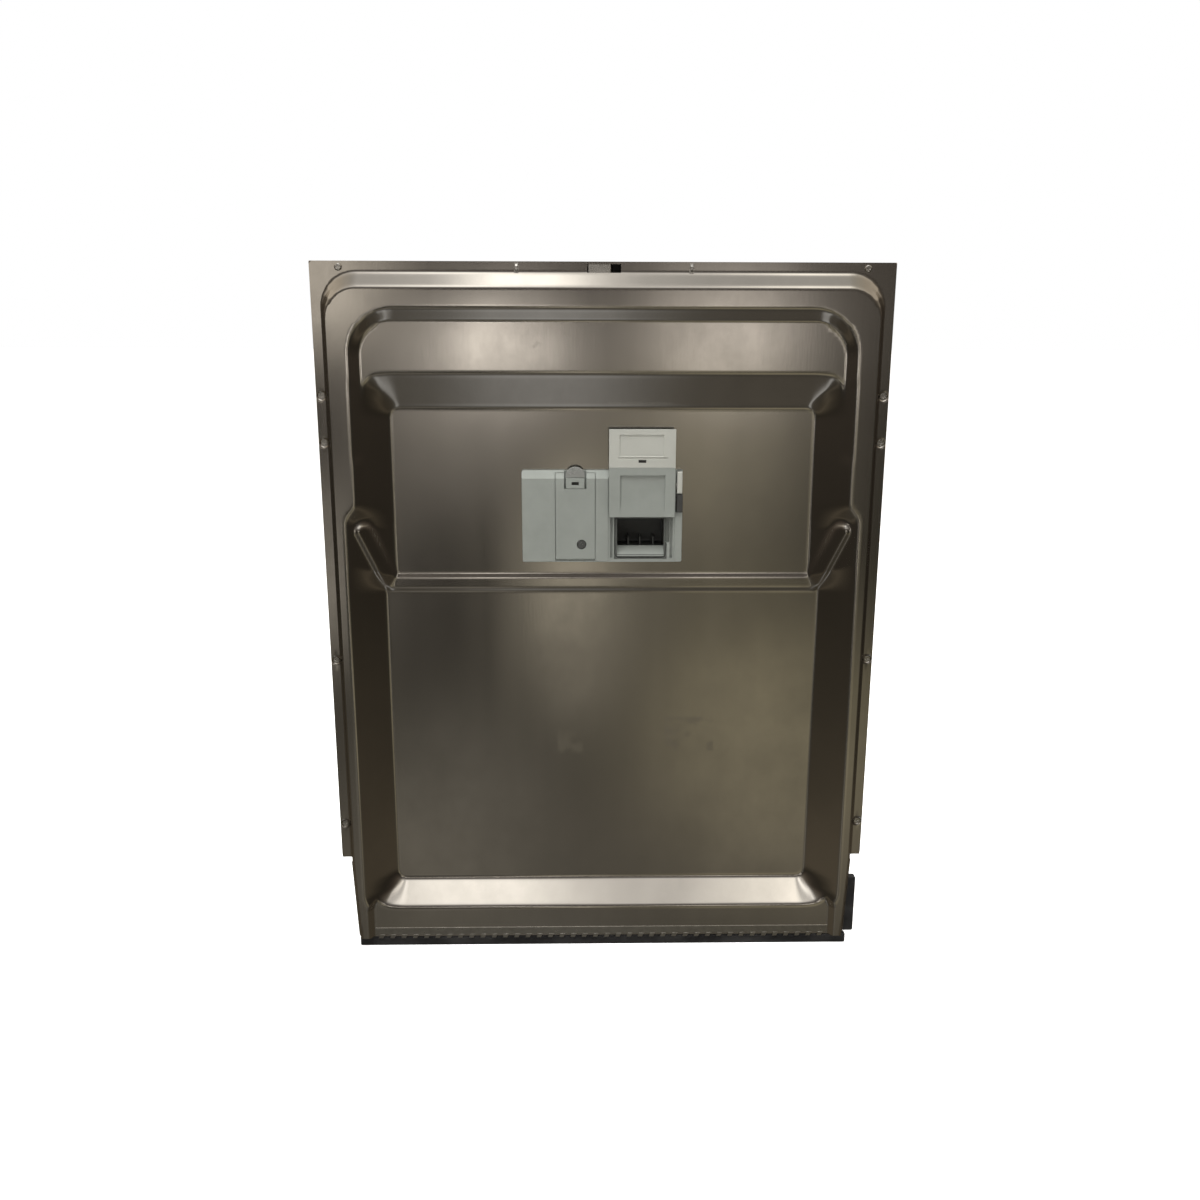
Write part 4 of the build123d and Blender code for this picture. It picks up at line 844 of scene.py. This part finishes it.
# Middle (side, height), reach (side, height), strength and tint of each soft glow
GLOWS = (
    (-0.007, -0.215, 0.055, 0.18, 0.70, (1.0, 0.93, 0.76)),
    (0.166, -0.34, 0.19, 0.19, 0.24, (1.0, 0.90, 0.60)),
    (-0.115, -0.42, 0.13, 0.14, 0.11, (1.0, 0.96, 0.84)),
    (-0.120, -0.095, 0.11, 0.11, 0.22, WARM),
    (0.110, -0.11, 0.16, 0.17, 0.22, (1.0, 0.92, 0.68)),
    (-0.072, -0.022, 0.10, 0.060, 2.00, (1.0, 0.95, 0.89)),
    (0.128, -0.005, 0.11, 0.090, 1.15, (1.0, 0.94, 0.88)),
    (-0.215, 0.035, 0.08, 0.09, 1.1, WARM),
    (-0.045, 0.95, 0.09, 0.45, 2.0, (1.0, 0.98, 0.94)),
    (-0.095, 0.62, 0.13, 0.30, 1.1, (1.0, 0.98, 0.94)),
    (0.200, 0.62, 0.12, 0.30, 1.1, (1.0, 0.96, 0.88)),
    (-0.030, -0.75, 0.14, 0.30, 0.38, (0.94, 0.97, 1.0)),
    (-0.225, -0.21, 0.05, 0.13, 0.50, WARM),
)
# The camera's place in metres, its heading, tilt and roll in degrees, and its lens in mm
CAMERA_PLACE = (-0.0251, -1.189, 0.640)
CAMERA_HEADING, CAMERA_TILT, CAMERA_ROLL = -1.07, 76.11, 0.16
CAMERA_LENS = 33.57


class INNERDOOR_OT_stage(bpy.types.Operator):
    """Pale floor, soft studio lights and the camera"""

    bl_idname = "innerdoor.stage"
    bl_label = "Stage"

    def execute(self, context):
        settings = context.scene.door_stage
        bm = bmesh.new()
        bmesh.ops.create_grid(bm, x_segments=1, y_segments=1, size=30)
        bmesh.ops.translate(bm, vec=(0, 0, FLOOR_Z), verts=bm.verts)
        mesh = bpy.data.meshes.new("studio_floor")
        bm.to_mesh(mesh)
        bm.free()
        floor = bpy.data.objects.new("studio_floor", mesh)
        context.scene.collection.objects.link(floor)
        paint = Surface("floor_paint", tuple(settings.floor_color), 0.9)
        paint.shader.inputs["Emission Color"].default_value = (1.0, 1.0, 1.0, 1)
        seen = paint.node("ShaderNodeLightPath").outputs["Is Camera Ray"]
        paint.link(paint.math("MULTIPLY", seen, 0.8), paint.shader.inputs["Emission Strength"])
        pale = tuple(settings.floor_color)
        soiled = tuple(0.98 * part for part in pale)
        paint.color(paint.ramp(paint.noise(3), (0.3, soiled), (0.7, pale)))
        mesh.materials.append(paint.material)
        floor.visible_glossy = False
        self.light("top_softbox", (-0.15, -0.48, 2.2), (0, 0, 0.35), 1.0, settings.top_light)
        self.light("left_softbox", (-1.5, -1.8, 1.2), (0, 0, 0.35), 0.9, 8.0)
        self.light("rear_softbox", (0.6, 1.8, 1.9), (0, 0, 0.3), 1.5, 22.0)
        self.surroundings(context.scene)
        self.camera(context.scene)
        context.scene.view_settings.view_transform = "Standard"
        return {"FINISHED"}

    @staticmethod
    def light(name, place, aim, size, power):
        lamp = bpy.data.lights.new(name, "AREA")
        lamp.shape = "SQUARE"
        lamp.size = size
        lamp.energy = power
        holder = bpy.data.objects.new(name, lamp)
        holder.visible_glossy = False
        holder.location = place
        holder.rotation_euler = (Vector(place) - Vector(aim)).to_track_quat("Z", "Y").to_euler()
        bpy.context.scene.collection.objects.link(holder)

    @staticmethod
    def surroundings(scene):
        """White to the eye; in reflections a dim warm room under a bright ceiling."""
        world = bpy.data.worlds.new("studio_surroundings")
        scene.world = world
        world.use_nodes = True
        nodes, links = world.node_tree.nodes, world.node_tree.links
        background = nodes["Background"]
        place = nodes.new("ShaderNodeTexCoord")
        split = nodes.new("ShaderNodeSeparateXYZ")
        links.new(place.outputs["Generated"], split.inputs["Vector"])

        def ramp(source, low, high, stops):
            span = nodes.new("ShaderNodeMapRange")
            span.inputs["From Min"].default_value = low
            span.inputs["From Max"].default_value = high
            links.new(source, span.inputs["Value"])
            made = nodes.new("ShaderNodeValToRGB")
            elements = made.color_ramp.elements
            while len(elements) < len(stops):
                elements.new(0.5)
            for element, (position, color) in zip(elements, stops):
                element.position = (position - low) / (high - low)
                element.color = (*color, 1)
            links.new(span.outputs["Result"], made.inputs["Fac"])
            return made.outputs["Color"]

        def patch(place_x, place_z, reach_x, reach_z, strength, tint):
            """A soft-edged glow around one direction."""
            shift = nodes.new("ShaderNodeVectorMath")
            shift.operation = "SUBTRACT"
            links.new(flat.outputs["Vector"], shift.inputs[0])
            shift.inputs[1].default_value = (place_x, place_z, 0)
            scale = nodes.new("ShaderNodeVectorMath")
            scale.operation = "DIVIDE"
            links.new(shift.outputs["Vector"], scale.inputs[0])
            scale.inputs[1].default_value = (reach_x, reach_z, 1)
            length = nodes.new("ShaderNodeVectorMath")
            length.operation = "LENGTH"
            links.new(scale.outputs["Vector"], length.inputs[0])
            fade = nodes.new("ShaderNodeMapRange")
            fade.interpolation_type = "SMOOTHERSTEP"
            fade.inputs["From Min"].default_value = 0.0
            fade.inputs["From Max"].default_value = 1.0
            fade.inputs["To Min"].default_value = strength
            fade.inputs["To Max"].default_value = 0.0
            links.new(length.outputs["Value"], fade.inputs["Value"])
            glow = nodes.new("ShaderNodeMix")
            glow.data_type = "RGBA"
            glow.blend_type = "MULTIPLY"
            glow.inputs[0].default_value = 1.0
            glow.inputs[7].default_value = (*tint, 1)
            links.new(fade.outputs["Result"], glow.inputs[6])
            return glow.outputs[2]

        def blended(kind, one, other):
            made = nodes.new("ShaderNodeMix")
            made.data_type = "RGBA"
            made.blend_type = kind
            made.inputs[0].default_value = 1.0
            links.new(one, made.inputs[6])
            links.new(other, made.inputs[7])
            return made.outputs[2]

        flat = nodes.new("ShaderNodeCombineXYZ")
        links.new(split.outputs["X"], flat.inputs["X"])
        links.new(split.outputs["Z"], flat.inputs["Y"])
        by_height = ramp(split.outputs["Z"], -1.0, 1.0, ROOM_BY_HEIGHT)
        by_side = ramp(split.outputs["X"], -1.0, 1.0, ROOM_BY_SIDE)
        room = blended("MULTIPLY", by_height, by_side)
        for glow in GLOWS:
            room = blended("ADD", room, patch(*glow))
        paths = nodes.new("ShaderNodeLightPath")
        seen = nodes.new("ShaderNodeMix")
        seen.data_type = "RGBA"
        links.new(paths.outputs["Is Camera Ray"], seen.inputs[0])
        links.new(room, seen.inputs[6])
        seen.inputs[7].default_value = (1.0, 1.0, 1.0, 1)
        links.new(seen.outputs[2], background.inputs["Color"])

    @staticmethod
    def camera(scene):
        lens = bpy.data.cameras.new("front_camera")
        lens.sensor_width = 36.0
        lens.lens = CAMERA_LENS
        lens.clip_start = 0.01
        camera = bpy.data.objects.new("front_camera", lens)
        turn = Matrix.Rotation(radians(CAMERA_HEADING), 4, "Z")
        turn = turn @ Matrix.Rotation(radians(CAMERA_TILT), 4, "X")
        turn = turn @ Matrix.Rotation(radians(CAMERA_ROLL), 4, "Z")
        camera.matrix_world = Matrix.Translation(CAMERA_PLACE) @ turn
        scene.collection.objects.link(camera)
        scene.camera = camera


OPERATORS = (
    INNERDOOR_OT_liner,
    INNERDOOR_OT_seals,
    INNERDOOR_OT_edge_strip,
    INNERDOOR_OT_brackets,
    INNERDOOR_OT_fasteners,
    INNERDOOR_OT_latch,
    INNERDOOR_OT_dispenser,
    INNERDOOR_OT_rinse_lid,
    INNERDOOR_OT_cover,
    INNERDOOR_OT_release,
    INNERDOOR_OT_stage,
)


class INNERDOOR_PT_pieces(bpy.types.Panel):
    """Sizes, colours and the operator of each piece"""

    bl_label = "Inner Door"
    bl_idname = "INNERDOOR_PT_pieces"
    bl_space_type = "VIEW_3D"
    bl_region_type = "UI"
    bl_category = "Inner Door"

    def draw(self, context):
        for name, group in SETTING_GROUPS.items():
            box = self.layout.box()
            for prop in group.__annotations__:
                box.prop(getattr(context.scene, name), prop)
        for operator in OPERATORS:
            self.layout.operator(operator.bl_idname)


def register():
    for group in SETTING_GROUPS.values():
        bpy.utils.register_class(group)
    for name, group in SETTING_GROUPS.items():
        setattr(bpy.types.Scene, name, bpy.props.PointerProperty(type=group))
    for operator in OPERATORS:
        bpy.utils.register_class(operator)
    bpy.utils.register_class(INNERDOOR_PT_pieces)


def unregister():
    bpy.utils.unregister_class(INNERDOOR_PT_pieces)
    for operator in reversed(OPERATORS):
        bpy.utils.unregister_class(operator)
    for name in SETTING_GROUPS:
        delattr(bpy.types.Scene, name)
    for group in reversed(list(SETTING_GROUPS.values())):
        bpy.utils.unregister_class(group)


def main():
    register()
    make_finishes(bpy.context.scene)
    for operator in OPERATORS:
        getattr(bpy.ops.innerdoor, operator.bl_idname.split(".")[1])()


if __name__ == "__main__":
    main()
